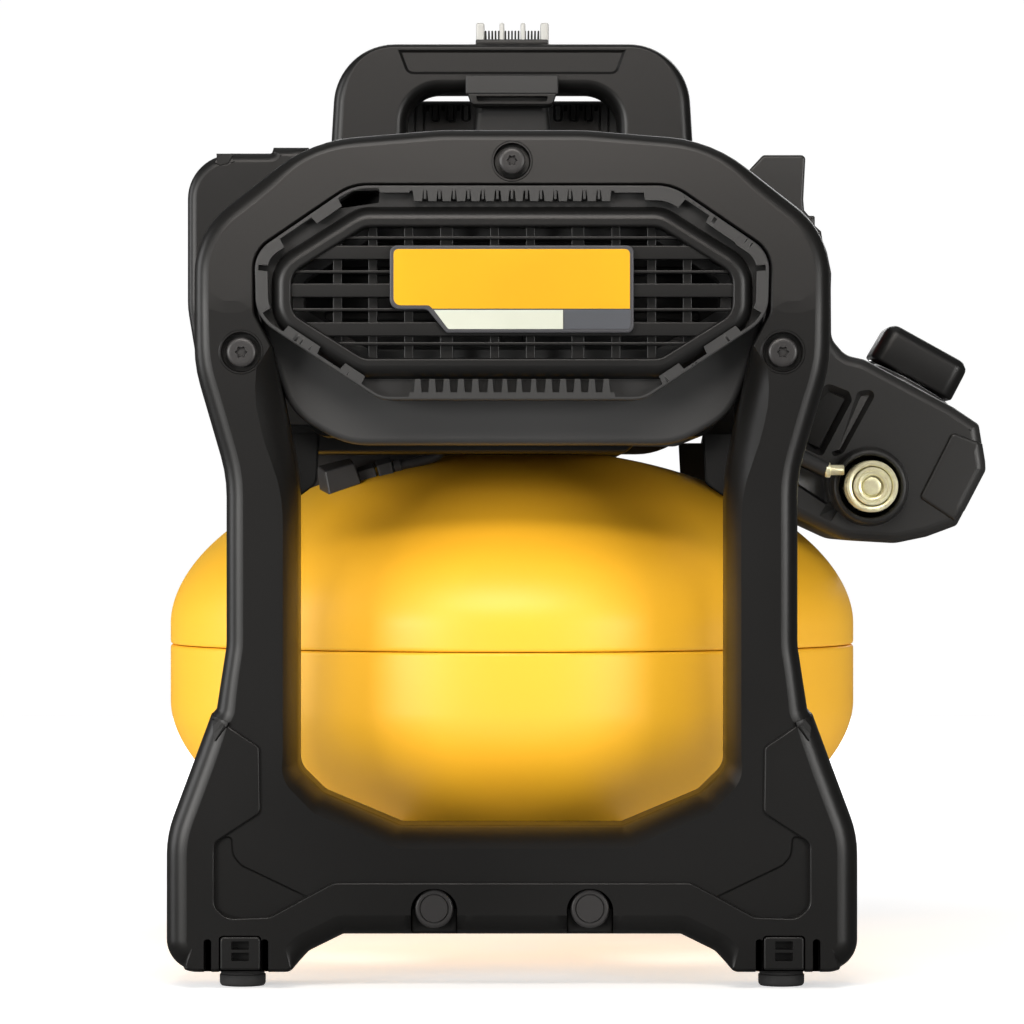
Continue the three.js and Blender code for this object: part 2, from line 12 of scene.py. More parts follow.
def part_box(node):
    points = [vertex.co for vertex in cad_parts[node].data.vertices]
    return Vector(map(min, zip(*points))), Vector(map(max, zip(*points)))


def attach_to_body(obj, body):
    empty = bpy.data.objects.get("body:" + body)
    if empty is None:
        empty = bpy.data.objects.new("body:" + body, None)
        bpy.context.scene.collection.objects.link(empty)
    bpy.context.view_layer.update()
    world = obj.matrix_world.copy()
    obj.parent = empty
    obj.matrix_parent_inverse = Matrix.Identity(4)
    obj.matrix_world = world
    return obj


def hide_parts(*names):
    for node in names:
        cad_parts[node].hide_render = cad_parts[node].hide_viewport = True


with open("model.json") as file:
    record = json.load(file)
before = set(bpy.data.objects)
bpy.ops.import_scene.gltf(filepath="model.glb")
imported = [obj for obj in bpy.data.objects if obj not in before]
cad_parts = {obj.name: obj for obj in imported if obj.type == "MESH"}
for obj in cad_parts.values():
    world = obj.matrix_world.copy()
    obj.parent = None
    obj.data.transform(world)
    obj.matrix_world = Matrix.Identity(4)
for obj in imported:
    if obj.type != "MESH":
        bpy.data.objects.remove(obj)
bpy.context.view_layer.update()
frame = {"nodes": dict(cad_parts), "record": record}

# ---------------------------------------------------------------- driving dimensions
# Shapes are written in millimetres from the machine's centre plane: x towards the console,
# y along the machine, z up. Their places come from the boxes of the CAD nodes.
MM = 0.001


CENTRE_X = sum((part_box("side_frame_near")[i].x for i in (0, 1))) / 2
CENTRE = Vector((CENTRE_X, 0, 0))
ENDS = (("near", False), ("far", True))


def in_mm(place):
    """A place in metres, as millimetres from the centre plane."""
    return (place - CENTRE) / MM


def in_metres(point):
    return Vector(point) * MM + CENTRE


def box_mm(node):
    """Lowest and highest corner of a CAD node, in millimetres from the centre plane."""
    lo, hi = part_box(node)
    return in_mm(lo), in_mm(hi)


PANEL_LO, PANEL_HI = box_mm("side_frame_near")
END_Y = -PANEL_LO.y                     # outer face of an end panel
PANEL_DEPTH = PANEL_HI.y - PANEL_LO.y
LEG_OUT = PANEL_HI.x                    # half width over the legs
LEG_UNDER = PANEL_LO.z
ARCH_TOP = PANEL_HI.z
TANK_R = (box_mm("tank_upper_shell")[1].x - box_mm("tank_upper_shell")[0].x) / 2
SEAM_Z = box_mm("tank_upper_shell")[0].z - 0.15
TANK_TOP = box_mm("tank_upper_shell")[1].z
TANK_BOTTOM = box_mm("tank_lower_shell")[0].z
LINE_X, LINE_Y = -30, -53               # where the pump's line leaves the housing
FOOT_LO, FOOT_HI = box_mm("foot_front_near")
FOOT_X = (FOOT_LO.x + FOOT_HI.x) / 2
FOOT_Y = -(FOOT_LO.y + FOOT_HI.y) / 2
GAUGE_Y = 43


# ---------------------------------------------------------------- outlines
def fillet(corners, step=0.16):
    """Turns [x, z, radius] corners into a smooth loop of points."""
    points = []
    count = len(corners)
    for i, corner in enumerate(corners):
        here = np.array(corner[:2], float)
        radius = corner[2] if len(corner) > 2 else 0
        if radius <= 0:
            points.append(here)
            continue
        a = np.array(corners[i - 1][:2], float) - here
        b = np.array(corners[(i + 1) % count][:2], float) - here
        a /= np.linalg.norm(a)
        b /= np.linalg.norm(b)
        half = math.acos(max(-1.0, min(1.0, float(a @ b)))) / 2
        middle = a + b
        centre = here + middle / np.linalg.norm(middle) * radius / math.sin(half)
        spoke = here + a * radius / math.tan(half) - centre
        turn = (math.pi - 2 * half) * (1 if b[0] * a[1] - b[1] * a[0] > 0 else -1)
        steps = max(2, math.ceil(abs(turn) / step))
        for s in range(steps + 1):
            angle = turn * s / steps
            cos, sin = math.cos(angle), math.sin(angle)
            points.append(centre + (spoke[0] * cos - spoke[1] * sin, spoke[0] * sin + spoke[1] * cos))
    return np.array(points)


def rectangle(x0, x1, z0, z1, low=0, high=None, step=0.3):
    """A rectangle's loop, with one radius for its lower corners and one for its upper ones."""
    high = low if high is None else high
    return fillet([[x0, z0, low], [x1, z0, low], [x1, z1, high], [x0, z1, high]], step)


def mirrored(half):
    """A right half, from its lowest point on the centre line to its highest, made into a loop."""
    return list(half) + [[-c[0], *c[1:]] for c in reversed(half) if c[0] > 1e-6]


def spread(loop, longest):
    """Adds points along the long sides of a loop, so that widths can vary along them."""
    points = []
    for a, b in zip(loop, np.roll(loop, -1, 0)):
        pieces = max(1, math.ceil(np.linalg.norm(b - a) / longest))
        points += [a + (b - a) * k / pieces for k in range(pieces)]
    return np.array(points)


def spread_open(line, longest):
    """Adds points along the long sides of an open line."""
    points = spread(line, longest)
    last = np.flatnonzero((points == line[-1]).all(1))[0]
    return points[:last + 1]


def normals(loop):
    """Inward unit mitres of a counter-clockwise loop."""
    u = loop - np.roll(loop, 1, 0)
    v = np.roll(loop, -1, 0) - loop
    u /= np.linalg.norm(u, axis=1)[:, None]
    v /= np.linalg.norm(v, axis=1)[:, None]
    total = np.stack([-(u[:, 1] + v[:, 1]), u[:, 0] + v[:, 0]], 1)
    return total / np.maximum(1 + (u * v).sum(1), 0.3)[:, None]


def offset(loop, amount):
    """Moves a counter-clockwise loop inwards by an amount, one for all points or one each."""
    return loop + normals(loop) * (np.zeros(len(loop)) + amount)[:, None]


def inside(points, loop):
    """Which of the points lie inside a loop."""
    result = np.zeros(len(points), bool)
    for a, b in zip(loop, np.roll(loop, -1, 0)):
        crosses = (a[1] > points[:, 1]) != (b[1] > points[:, 1])
        with np.errstate(divide="ignore", invalid="ignore"):
            x = (b[0] - a[0]) * (points[:, 1] - a[1]) / (b[1] - a[1]) + a[0]
        result ^= crosses & (points[:, 0] < x)
    return result


def joined(edge, step, grow):
    """One loop from two runs of points, with the first pushed outwards a little."""
    loop = np.concatenate([edge, step])
    return np.concatenate([offset(loop, -grow)[:len(edge)], step])


def circle(x, z, radius, count=40):
    turn = np.linspace(0, 2 * math.pi, count, endpoint=False)
    return np.stack([x + radius * np.cos(turn), z + radius * np.sin(turn)], 1)


# ---------------------------------------------------------------- meshes
def make_object(name, points_mm, faces, material, sharp=32, curved=None):
    """A mesh object from points in millimetres, with crisp edges above an angle in degrees.

    Only the first so many faces are shaded as curved, or all of them when curved is not given.
    """
    mesh = bpy.data.meshes.new(name)
    place = np.asarray(points_mm, float) * MM + (CENTRE_X, 0, 0)
    mesh.from_pydata(place.tolist(), [], faces)
    smooth = np.arange(len(faces)) < (len(faces) if curved is None else curved)
    mesh.polygons.foreach_set("use_smooth", smooth)
    mesh.validate()
    mesh.update()
    mesh.set_sharp_from_angle(angle=math.radians(sharp))
    piece = bpy.data.objects.new(name, mesh)
    bpy.context.scene.collection.objects.link(piece)
    piece.data.materials.append(material)
    return piece


def weight_normals(piece):
    modifier = piece.modifiers.new("Even shading", "WEIGHTED_NORMAL")
    modifier.keep_sharp = True
    return piece


def bevel(piece, width_mm, segments=3, angle=30):
    modifier = piece.modifiers.new("Rounded edges", "BEVEL")
    modifier.width = width_mm * MM
    modifier.segments = segments
    modifier.limit_method = "ANGLE"
    modifier.angle_limit = math.radians(angle)
    modifier.harden_normals = True
    return piece


def edge_profile(thickness, front, back, segments=6, roundness=1.0):
    """(inset, depth) pairs round one edge of a plate, from its back face to its front face.

    roundness 1 makes the front a quarter round, and 0 a straight slope.
    """
    (fw, fd), (bw, bd) = front, back
    pairs = []
    for k in range(segments + 1):
        a = k / segments * math.pi / 2
        pairs.append((bw * (1 - math.sin(a)), thickness - bd * (1 - math.cos(a))))
    for k in range(segments + 1):
        a = k / segments * math.pi / 2
        along = k / segments
        pairs.append((fw * (roundness * (1 - math.cos(a)) + (1 - roundness) * along),
                      fd * (roundness * (1 - math.sin(a)) + (1 - roundness) * (1 - along))))
    return pairs


GUARD = 0.3                             # a flat margin round each face of a plate


def plate(name, outer, holes, thickness, material, front=(1.5, 1.5), back=(0.5, 0.5),
          hole_front=None, hole_back=None, lines=(), segments=6, face=0.0, lean=None,
          far=False, sharp=32, loose=(), hole_roundness=1.0):
    """A moulded plate with rounded edges, extruded along y from its front face.

    outer and holes are loops in x and z. front, back and their hole_ twins are (width, depth)
    of the rounding, each one number, one per point, or a function of the loop. lines are
    (points, depths, closed) edges that the front face is folded along, and loose are extra points
    on it. face is how far the front lies behind the end panels' outer face, and lean(points)
    pushes it back further. far mirrors the plate to the far end.
    """
    vertices, faces = [], []

    def add_ring(points, depth):
        start = len(vertices)
        depths = np.zeros(len(points)) + depth
        vertices.extend(np.stack([points[:, 0], depths, points[:, 1]], 1).tolist())
        return list(range(start, start + len(points)))

    fronts, backs = [], []
    for index, loop in enumerate([outer, *holes]):
        sign = 1 if index == 0 else -1
        f = front if index == 0 else (hole_front or front)
        b = back if index == 0 else (hole_back or back)
        widths = [w(loop) if callable(w) else w for w in (f[0], b[0])]
        depths = [d(loop) if callable(d) else d for d in (f[1], b[1])]
        pairs = edge_profile(thickness, (widths[0], depths[0]), (widths[1], depths[1]), segments,
                             1.0 if index == 0 else hole_roundness)
        rings = []
        pairs = [(pairs[0][0] + GUARD, thickness), *pairs, (pairs[-1][0] + GUARD, 0.0)]
        for inset_mm, depth in pairs:
            ring = offset(loop, sign * (np.zeros(len(loop)) + inset_mm))
            rings.append((ring, add_ring(ring, depth)))
        for (_, low), (_, high) in zip(rings, rings[1:]):
            for i in range(len(loop)):
                j = (i + 1) % len(loop)
                quad = [low[i], low[j], high[j], high[i]]
                faces.append(quad if index == 0 else quad[::-1])
        fronts.append(rings[-1])
        backs.append(rings[0])

    def fill(rings, extra, turn_over, spots=()):
        points, edges, ids = [], [], []
        if len(spots):
            points += [Vector(p) for p in spots]
            ids += add_ring(spots, 0.0)
        for ring, numbers in rings:
            base = len(points)
            points += [Vector(p) for p in ring]
            ids += numbers
            edges += [(base + i, base + (i + 1) % len(ring)) for i in range(len(ring))]
        for line, depths, closed in extra:
            base = len(points)
            numbers = add_ring(line, depths)
            points += [Vector(p) for p in line]
            ids += numbers
            last = len(line) if closed else len(line) - 1
            edges += [(base + i, base + (i + 1) % len(line)) for i in range(last)]
        flat, _, triangles, origin, _, _ = delaunay_2d_cdt(points, edges, [], 0, 1e-6)
        number_of = []
        for point, source in zip(flat, origin):
            if source:
                number_of.append(ids[source[0]])
            else:
                number_of.append(add_ring(np.array([point[:]]), 0.0)[0])
        middles = np.array([sum((flat[i] for i in t), Vector((0, 0))) / len(t) for t in triangles])
        keep = inside(middles, rings[0][0])
        for ring, _ in rings[1:]:
            keep &= ~inside(middles, ring)
        for triangle, wanted in zip(triangles, keep):
            if wanted:
                corners = [number_of[i] for i in triangle]
                a, b, c = (flat[i] for i in triangle[:3])
                forward = (b - a).cross(c - a) > 0
                if forward == turn_over:
                    corners.reverse()
                faces.append(corners)

    curved = len(faces)
    fill(fronts, lines, False, loose)
    fill(backs, (), True)
    body = np.array(vertices)
    if lean:
        body[:, 1] += lean(body[:, [0, 2]]) * (1 - body[:, 1] / thickness)
    body[:, 1] += face - END_Y
    if far:
        body[:, 1] *= -1
        faces = [f[::-1] for f in faces]
    used = sorted({i for f in faces for i in f})
    renumber = {old: new for new, old in enumerate(used)}
    piece = make_object(name, body[used], [[renumber[i] for i in f] for f in faces], material, sharp,
                        curved)
    return weight_normals(piece)


def revolve(name, profile, material, segments=96, axis=(0, 0, 1), at=(0, 0, 0), sharp=32):
    """A turned piece: (radius, height) pairs about an axis through a point, in millimetres."""
    rotate = Vector((0, 0, 1)).rotation_difference(Vector(axis)).to_matrix()
    points, faces, rings = [], [], []
    for radius, height in profile:
        if radius < 1e-6:
            rings.append([len(points)])
            points.append(rotate @ Vector((0, 0, height)) + Vector(at))
            continue
        rings.append(list(range(len(points), len(points) + segments)))
        for k in range(segments):
            turn = 2 * math.pi * k / segments
            spot = Vector((radius * math.cos(turn), radius * math.sin(turn), height))
            points.append(rotate @ spot + Vector(at))
    for low, high in zip(rings, rings[1:]):
        for k in range(segments):
            j = (k + 1) % segments
            if len(low) == 1 and len(high) == 1:
                continue
            if len(low) == 1:
                faces.append([low[0], high[j], high[k]])
            elif len(high) == 1:
                faces.append([low[k], low[j], high[0]])
            else:
                faces.append([low[k], low[j], high[j], high[k]])
    if len(rings[0]) > 1 and len(rings[-1]) > 1:
        for k in range(segments):
            j = (k + 1) % segments
            faces.append([rings[-1][k], rings[-1][j], rings[0][j], rings[0][k]])
    return make_object(name, [list(p) for p in points], faces, material, sharp)


def rounded_box(name, lo, hi, radius, material, segments=3):
    """A box between two corners in millimetres with rounded edges, as real geometry."""
    work = bmesh.new()
    bmesh.ops.create_cube(work, size=1)
    size = Vector(hi) - Vector(lo)
    middle = (Vector(hi) + Vector(lo)) / 2
    for vertex in work.verts:
        vertex.co = Vector([vertex.co[i] * size[i] + middle[i] for i in range(3)])
    bmesh.ops.bevel(work, geom=work.edges[:], offset=radius, segments=segments, profile=0.5,
                    affect="EDGES")
    work.normal_update()
    points = [v.co[:] for v in work.verts]
    faces = [[v.index for v in f.verts] for f in work.faces]
    work.free()
    return weight_normals(make_object(name, points, faces, material, 40))


def merge(name, pieces):
    """Joins finished objects into one, applying their modifiers first."""
    points, faces, material = [], [], pieces[0].data.materials[0]
    depsgraph = bpy.context.evaluated_depsgraph_get()
    for piece in pieces:
        mesh = piece.evaluated_get(depsgraph).to_mesh()
        base = len(points)
        points += [in_mm(piece.matrix_world @ v.co) for v in mesh.vertices]
        faces += [[base + i for i in p.vertices] for p in mesh.polygons]
        piece.to_mesh_clear()
    for piece in pieces:
        bpy.data.objects.remove(piece)
    return weight_normals(make_object(name, [p[:] for p in points], faces, material, 40))


def cutter(loop, thickness, far, face=-7):
    """A square-edged block for carve() to take away."""
    return plate("cutter", loop, [], thickness, DARK, front=(0, 0), back=(0.5, 0.5), face=face, far=far)


def carve(piece, cutters):
    """Cuts solids out of a piece and keeps the result as plain geometry."""
    for cutter in cutters:
        modifier = piece.modifiers.new("Cut", "BOOLEAN")
        modifier.operation = "DIFFERENCE"
        modifier.solver = "EXACT"
        modifier.object = cutter
    shaded = [m for m in piece.modifiers if m.type == "WEIGHTED_NORMAL"]
    for modifier in shaded:
        piece.modifiers.remove(modifier)
    bpy.context.view_layer.update()
    depsgraph = bpy.context.evaluated_depsgraph_get()
    mesh = bpy.data.meshes.new_from_object(piece.evaluated_get(depsgraph))
    piece.modifiers.clear()
    old = piece.data
    piece.data = mesh
    bpy.data.meshes.remove(old)
    mesh.set_sharp_from_angle(angle=math.radians(35))
    for polygon in mesh.polygons:       # the front and back stay true planes
        if abs(polygon.normal.y) > 0.99 and abs(polygon.normal.x) < 0.01:
            polygon.use_smooth = False
    for cutter in cutters:
        bpy.data.objects.remove(cutter)
    return weight_normals(piece)


def attach(piece, slot=None, *nodes, body="frame"):
    """Fixes a piece to a body and lets it stand for CAD nodes. The slot argument is not used."""
    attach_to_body(piece, body)
    if nodes:
        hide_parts(*nodes)


# ---------------------------------------------------------------- materials
def new_material(name):
    material = bpy.data.materials.new(name)
    material.use_nodes = True
    tree = material.node_tree
    return material, tree, tree.nodes["Principled BSDF"]


def noise(tree, scale, detail=3.0, roughness=0.5):
    place = tree.nodes.new("ShaderNodeTexCoord")
    node = tree.nodes.new("ShaderNodeTexNoise")
    node.inputs["Scale"].default_value = scale
    node.inputs["Detail"].default_value = detail
    node.inputs["Roughness"].default_value = roughness
    tree.links.new(place.outputs["Object"], node.inputs["Vector"])
    return node


def ramp(tree, source, low, high):
    node = tree.nodes.new("ShaderNodeValToRGB")
    node.color_ramp.elements[0].position = 0.35
    node.color_ramp.elements[1].position = 0.65
    node.color_ramp.elements[0].color = (*low, 1)
    node.color_ramp.elements[1].color = (*high, 1)
    tree.links.new(source, node.inputs["Fac"])
    return node


def roughness_from(tree, shader, source, low, high):
    node = tree.nodes.new("ShaderNodeMapRange")
    node.inputs["To Min"].default_value = low
    node.inputs["To Max"].default_value = high
    tree.links.new(source, node.inputs["Value"])
    tree.links.new(node.outputs["Result"], shader.inputs["Roughness"])


def bump_from(tree, shader, source, distance_mm, strength=1.0):
    node = tree.nodes.new("ShaderNodeBump")
    node.inputs["Distance"].default_value = distance_mm * MM
    node.inputs["Strength"].default_value = strength
    tree.links.new(source, node.inputs["Height"])
    tree.links.new(node.outputs["Normal"], shader.inputs["Normal"])


def plastic(name, colour, low, high, grain=900, grain_mm=0.02, gloss=0.45):
    """Moulded plastic: a spark-eroded grain, and a slow drift in shade and gloss."""
    material, tree, shader = new_material(name)
    drift = noise(tree, 9, 2)
    shade = ramp(tree, drift.outputs["Fac"], [c * 0.88 for c in colour], [c * 1.12 for c in colour])
    tree.links.new(shade.outputs["Color"], shader.inputs["Base Color"])
    fine = noise(tree, grain, 4, 0.6)
    roughness_from(tree, shader, drift.outputs["Fac"], low, high)
    bump_from(tree, shader, fine.outputs["Fac"], grain_mm, 0.35)
    shader.inputs["Specular IOR Level"].default_value = gloss
    return material


def metal(name, colour, low, high, grain=300, grain_mm=0.01, metallic=1.0):
    """Machined or cast metal with a fine grain."""
    material, tree, shader = new_material(name)
    shader.inputs["Metallic"].default_value = metallic
    fine = noise(tree, grain, 5, 0.6)
    shade = ramp(tree, fine.outputs["Fac"], [c * 0.85 for c in colour], [min(1, c * 1.08) for c in colour])
    tree.links.new(shade.outputs["Color"], shader.inputs["Base Color"])
    roughness_from(tree, shader, fine.outputs["Fac"], low, high)
    bump_from(tree, shader, fine.outputs["Fac"], grain_mm, 0.4)
    return material


def paint(name, colour):
    """Powder coat on a steel pressing: slight orange peel under a soft gloss."""
    material, tree, shader = new_material(name)
    drift = noise(tree, 6, 2)
    warm = [colour[0], colour[1] * 0.93, colour[2]]
    shade = ramp(tree, drift.outputs["Fac"], warm, colour)
    tree.links.new(shade.outputs["Color"], shader.inputs["Base Color"])
    peel = noise(tree, 420, 2, 0.45)
    roughness_from(tree, shader, drift.outputs["Fac"], 0.40, 0.48)
    bump_from(tree, shader, peel.outputs["Fac"], 0.05, 0.25)
    shader.inputs["Coat Weight"].default_value = 0.15
    shader.inputs["Coat Roughness"].default_value = 0.35
    return material


BLACK = plastic("black_moulding", (0.0058, 0.0057, 0.0056), 0.34, 0.42, gloss=0.36)
# The console's black is the shroud's black plastic made about three times lighter: painted light for the
# console's brighter side.
CONSOLE_BLACK_PAINTED_LIGHT = plastic("black_console_painted_light", (0.0165, 0.0162, 0.0158), 0.36, 0.44)
ARCH_BLACK = plastic("black_panel", (0.0055, 0.0053, 0.0051), 0.33, 0.41, gloss=0.34)
GREY = plastic("grey_moulding", (0.022, 0.022, 0.022), 0.48, 0.58)
DARK = plastic("deep_black_moulding", (0.005, 0.005, 0.005), 0.55, 0.65)
YELLOW = paint("yellow_powder_coat", (0.93, 0.50, 0.022))
BADGE_YELLOW = plastic("badge_yellow", (0.60, 0.31, 0.004), 0.30, 0.36, 1500, 0.004)
BADGE_WHITE = plastic("badge_white", (0.48, 0.50, 0.42), 0.30, 0.36, 1500, 0.004)
BADGE_GREY = plastic("badge_grey", (0.062, 0.066, 0.075), 0.32, 0.40, 1500, 0.004)
BADGE_RIM = plastic("badge_rim", (0.045, 0.045, 0.05), 0.35, 0.42, 1500, 0.004)
RUBBER = plastic("rubber", (0.018, 0.018, 0.018), 0.62, 0.75, 500, 0.04)
SCREW = plastic("black_oxide_steel", (0.022, 0.021, 0.021), 0.34, 0.42, 700, 0.01)
BRASS = metal("turned_brass", (0.98, 0.90, 0.60), 0.26, 0.38, 260, 0.01, metallic=0.55)
STEEL = metal("bright_steel", (0.62, 0.62, 0.62), 0.18, 0.3)
ALUMINIUM = metal("cast_aluminium", (0.60, 0.60, 0.59), 0.38, 0.52, 600, 0.04)
COPPER = metal("copper", (0.72, 0.36, 0.20), 0.25, 0.38)
RED = plastic("red_moulding", (0.42, 0.018, 0.012), 0.32, 0.42)
DIAL = plastic("dial_white", (0.80, 0.80, 0.77), 0.42, 0.5, 1500, 0.003)
# Pale grey for the handle's fins stands in for the white reflection on their glossy black plastic: a painted
# reflection.
PALE_PAINTED_REFLECTION = plastic("pale_grey_painted_reflection", (0.42, 0.42, 0.40), 0.3, 0.4)
BOARD = plastic("board_green", (0.02, 0.12, 0.05), 0.4, 0.5)


def make_glass():
    material, tree, shader = new_material("gauge_glass")
    smear = noise(tree, 60, 3)
    shade = ramp(tree, smear.outputs["Fac"], (0.93, 0.95, 0.95), (1, 1, 1))
    tree.links.new(shade.outputs["Color"], shader.inputs["Base Color"])
    roughness_from(tree, shader, smear.outputs["Fac"], 0.02, 0.06)
    bump_from(tree, shader, smear.outputs["Fac"], 0.002)
    shader.inputs["Transmission Weight"].default_value = 1.0
    shader.inputs["IOR"].default_value = 1.1
    return material


GLASS = make_glass()


# ---------------------------------------------------------------- stage
def make_stage():
    """White floor and backdrop, a dim room in front, and soft lights."""
    count = 96
    radius = 2600
    turns = [2 * math.pi * k / count for k in range(count)]
    rim = [(radius * math.cos(turn), radius * math.sin(turn), 0) for turn in turns]
    floor = make_object("floor", rim, [list(range(count))], floor_material())
    floor.visible_glossy = False
    work = bmesh.new()
    bmesh.ops.create_uvsphere(work, u_segments=48, v_segments=24, radius=14)
    backdrop_mesh = bpy.data.meshes.new("backdrop")
    work.to_mesh(backdrop_mesh)
    work.free()
    backdrop = bpy.data.objects.new("backdrop", backdrop_mesh)
    bpy.context.scene.collection.objects.link(backdrop)
    backdrop_mesh.materials.append(backdrop_material())
    backdrop.visible_diffuse = backdrop.visible_glossy = backdrop.visible_shadow = False

    world = bpy.data.worlds.new("studio")
    world.use_nodes = True
    background = world.node_tree.nodes["Background"]
    background.inputs["Color"].default_value = (1, 0.985, 0.965, 1)
    background.inputs["Strength"].default_value = 0.08
    bpy.context.scene.world = world
    bpy.context.scene.view_settings.view_transform = "Standard"

    def softbox(name, place, target, size, power, colour=(1, 1, 1)):
        light = bpy.data.lights.new(name, "AREA")
        light.shape = "RECTANGLE"
        light.size, light.size_y = size
        light.energy = power
        light.color = colour
        lamp = bpy.data.objects.new(name, light)
        bpy.context.scene.collection.objects.link(lamp)
        lamp.location = place
        lamp.rotation_euler = (Vector(target) - Vector(place)).to_track_quat("-Z", "Y").to_euler()
        return lamp

    middle = (CENTRE_X, 0, 0.2)
    softbox("key_left", (-1.55, -1.85, 0.44), middle, (0.9, 0.6), 31, (1, 0.985, 0.96))
    softbox("key_right", (1.55, -1.95, 0.40), middle, (0.9, 0.6), 23, (1, 0.985, 0.96))
    softbox("key_high", (-0.1, -1.3, 1.2), middle, (0.8, 0.5), 7, (1, 0.97, 0.94))
    softbox("brow", (-0.05, -0.80, 0.64), (CENTRE_X, -0.1, 0.34), (0.55, 0.12), 2.1, (1, 0.92, 0.85))
    softbox("top", (0.0, 0.2, 2.0), middle, (2.0, 1.4), 4)
    softbox("side_left", (-2.2, -0.1, 0.6), middle, (0.9, 1.4), 20)
    softbox("back", (0.4, 2.4, 1.2), middle, (1.8, 1.2), 24)


def floor_material():
    """Pale floor that brightens away from the machine, so that it runs into the backdrop."""
    material, tree, shader = new_material("floor_white")
    speck = noise(tree, 40, 2)
    shade = ramp(tree, speck.outputs["Fac"], (0.84, 0.84, 0.84), (0.86, 0.86, 0.86))
    tree.links.new(shade.outputs["Color"], shader.inputs["Base Color"])
    roughness_from(tree, shader, speck.outputs["Fac"], 0.8, 0.9)
    shader.inputs["Emission Color"].default_value = (1, 1, 1, 1)
    place = tree.nodes.new("ShaderNodeTexCoord")
    length = tree.nodes.new("ShaderNodeVectorMath")
    length.operation = "LENGTH"
    tree.links.new(place.outputs["Object"], length.inputs[0])
    fade = tree.nodes.new("ShaderNodeMapRange")
    fade.inputs["From Min"].default_value = 0.2
    fade.inputs["From Max"].default_value = 1.5
    fade.inputs["To Min"].default_value = 0.52
    fade.inputs["To Max"].default_value = 1.0
    tree.links.new(length.outputs["Value"], fade.inputs["Value"])
    tree.links.new(fade.outputs["Result"], shader.inputs["Emission Strength"])
    return material


def backdrop_material():
    material, _, shader = new_material("backdrop_white")
    shader.inputs["Base Color"].default_value = (0, 0, 0, 1)
    shader.inputs["Emission Color"].default_value = (1, 1, 1, 1)
    shader.inputs["Emission Strength"].default_value = 1.0
    return material


def make_camera():
    """Level camera on the end panel's centre plane, far enough away for a near-flat view."""
    data = bpy.data.cameras.new("camera")
    data.sensor_width = 36
    data.lens = 175.78125
    data.clip_end = 50
    camera = bpy.data.objects.new("camera", data)
    bpy.context.scene.collection.objects.link(camera)
    distance = 2083 * MM
    eye_height = 199 * MM
    camera.location = (CENTRE_X, -END_Y * MM - distance, eye_height)
    camera.rotation_euler = (math.pi / 2, 0, 0)
    bpy.context.scene.camera = camera


# ---------------------------------------------------------------- end panels
# The panel's outer edge, right half from the beam's underside up to the arch.
OUTER = mirrored([
    [0, 22.7], [70.6, 22.7, 3], [85, 15.6, 6], [92.7, LEG_UNDER, 4], [LEG_OUT, LEG_UNDER, 13],
    [LEG_OUT, 64, 45], [125.6, 114.5, 1.2], [123.6, 116.8, 1.2], [119.5, 143, 30], [119.5, 214, 60],
    [132.9, 260, 60], [132.9, 316, 36], [84, 354.5, 60], [30, ARCH_TOP, 90], [0, ARCH_TOP],
])
# The opening at its narrowest, behind the sloped wall of the window.
OPENING = mirrored([
    [0, 67.8], [46.5, 67.8, 5], [79, 81.5, 8], [89.6, 92, 9], [89.6, 214, 90],
    [100.6, 268.5, 3], [107.8, 282, 8], [108.1, 308.0, 14], [67.2, 336, 22], [0, 336],
])
ARCH_SCREWS = {"rear": (-113, 265.7, 7.9), "top": (0, 345.7, 7.2), "front": (113, 265.7, 7.9)}
BASE_BOLTS = {"rear": (-32.5, 33.6), "front": (32.5, 33.6)}
NOTCH_Z = 115.6                         # where the raised leg meets the column
LEG_LIFT = 1.5                          # how far the legs stand proud of the columns
POCKET = 1.2                            # how deep the pocket on each leg is


def between(values, low, high):
    t = np.clip((values - low) / (high - low), 0, 1)
    return t * t * (3 - 2 * t)


def outer_width(loop):
    """Width of the rounding along the panel's outer edge: wide on the legs, slim on the arch."""
    x, z = np.abs(loop[:, 0]), loop[:, 1]
    width = 9.0 - 1.6 * between(z, 95, 135) - 1.0 * between(z, 240, 290) - 2.0 * between(z, 335, 352)
    under_leg = (z < LEG_UNDER + 1.5) & (x > 88)
    return np.where(under_leg, 1.6, np.where((z < 24) & (x < 90), 8.4, width))


def outer_depth(loop):
    return np.maximum(outer_width(loop) * 1.15, 2.5)


def opening_width(loop):
    """Width of the sloped wall round the window, which fades out round the vent."""
    z = loop[:, 1]
    flat = np.abs(normals(loop)[:, 1])
    side = 6.0 + 5.0 * between(z, 195, 238) - 4.0 * between(z, 246, 266)
    side = np.where(z > 268, 0.7, side)
    return np.where(z < 100, 6.0 + 3.2 * flat, side)


def opening_depth(loop):
    return np.where(loop[:, 1] > 268, 0.9, 13.0)


def panel_lean(points):
    """The arch leans back towards its top."""
    return 7.5 * np.clip((points[:, 1] - 285) / 75, 0, 1)


def pocket(loop, depth, rim=0.0, wall=0.4):
    """Fold lines for a straight-sided pocket inside a loop."""
    return [(loop, rim, True), (offset(loop, wall), depth, True)]


# Upper edge of the raised legs, right half from the beam's middle to the notch.
LEG_STEP = [[74.5, 44.6, 5], [86.5, 38.2, 14], [101, 30.3, 6], [118.8, 29.6, 7], [124, 34.6, 5],
            [124, 61.1, 4], [104.8, 73.6, 3], [105.2, 101.1, 3], [119.6, 110.7], [126.4, 116.6]]


def leg_loop(outer):
    """Outline of the raised legs and the beam's lower band, as one closed loop."""
    top = NOTCH_Z - 0.6
    start = next(i for i, p in enumerate(outer) if p[0] < 0 and p[1] < top <= outer[i - 1][1])
    lower = []
    for k in range(len(outer)):
        point = outer[(start + k) % len(outer)]
        if point[1] >= top:
            break
        lower.append(point)
    step = [list(c) for c in LEG_STEP]
    corners = step[::-1][1:] + [[-x, z, *r] for x, z, *r in step[:-1]]
    upper = fillet([[130, 112], *corners, [-130, 112]], 0.2)[1:-1]
    return np.array(lower), spread_open(upper, 8)


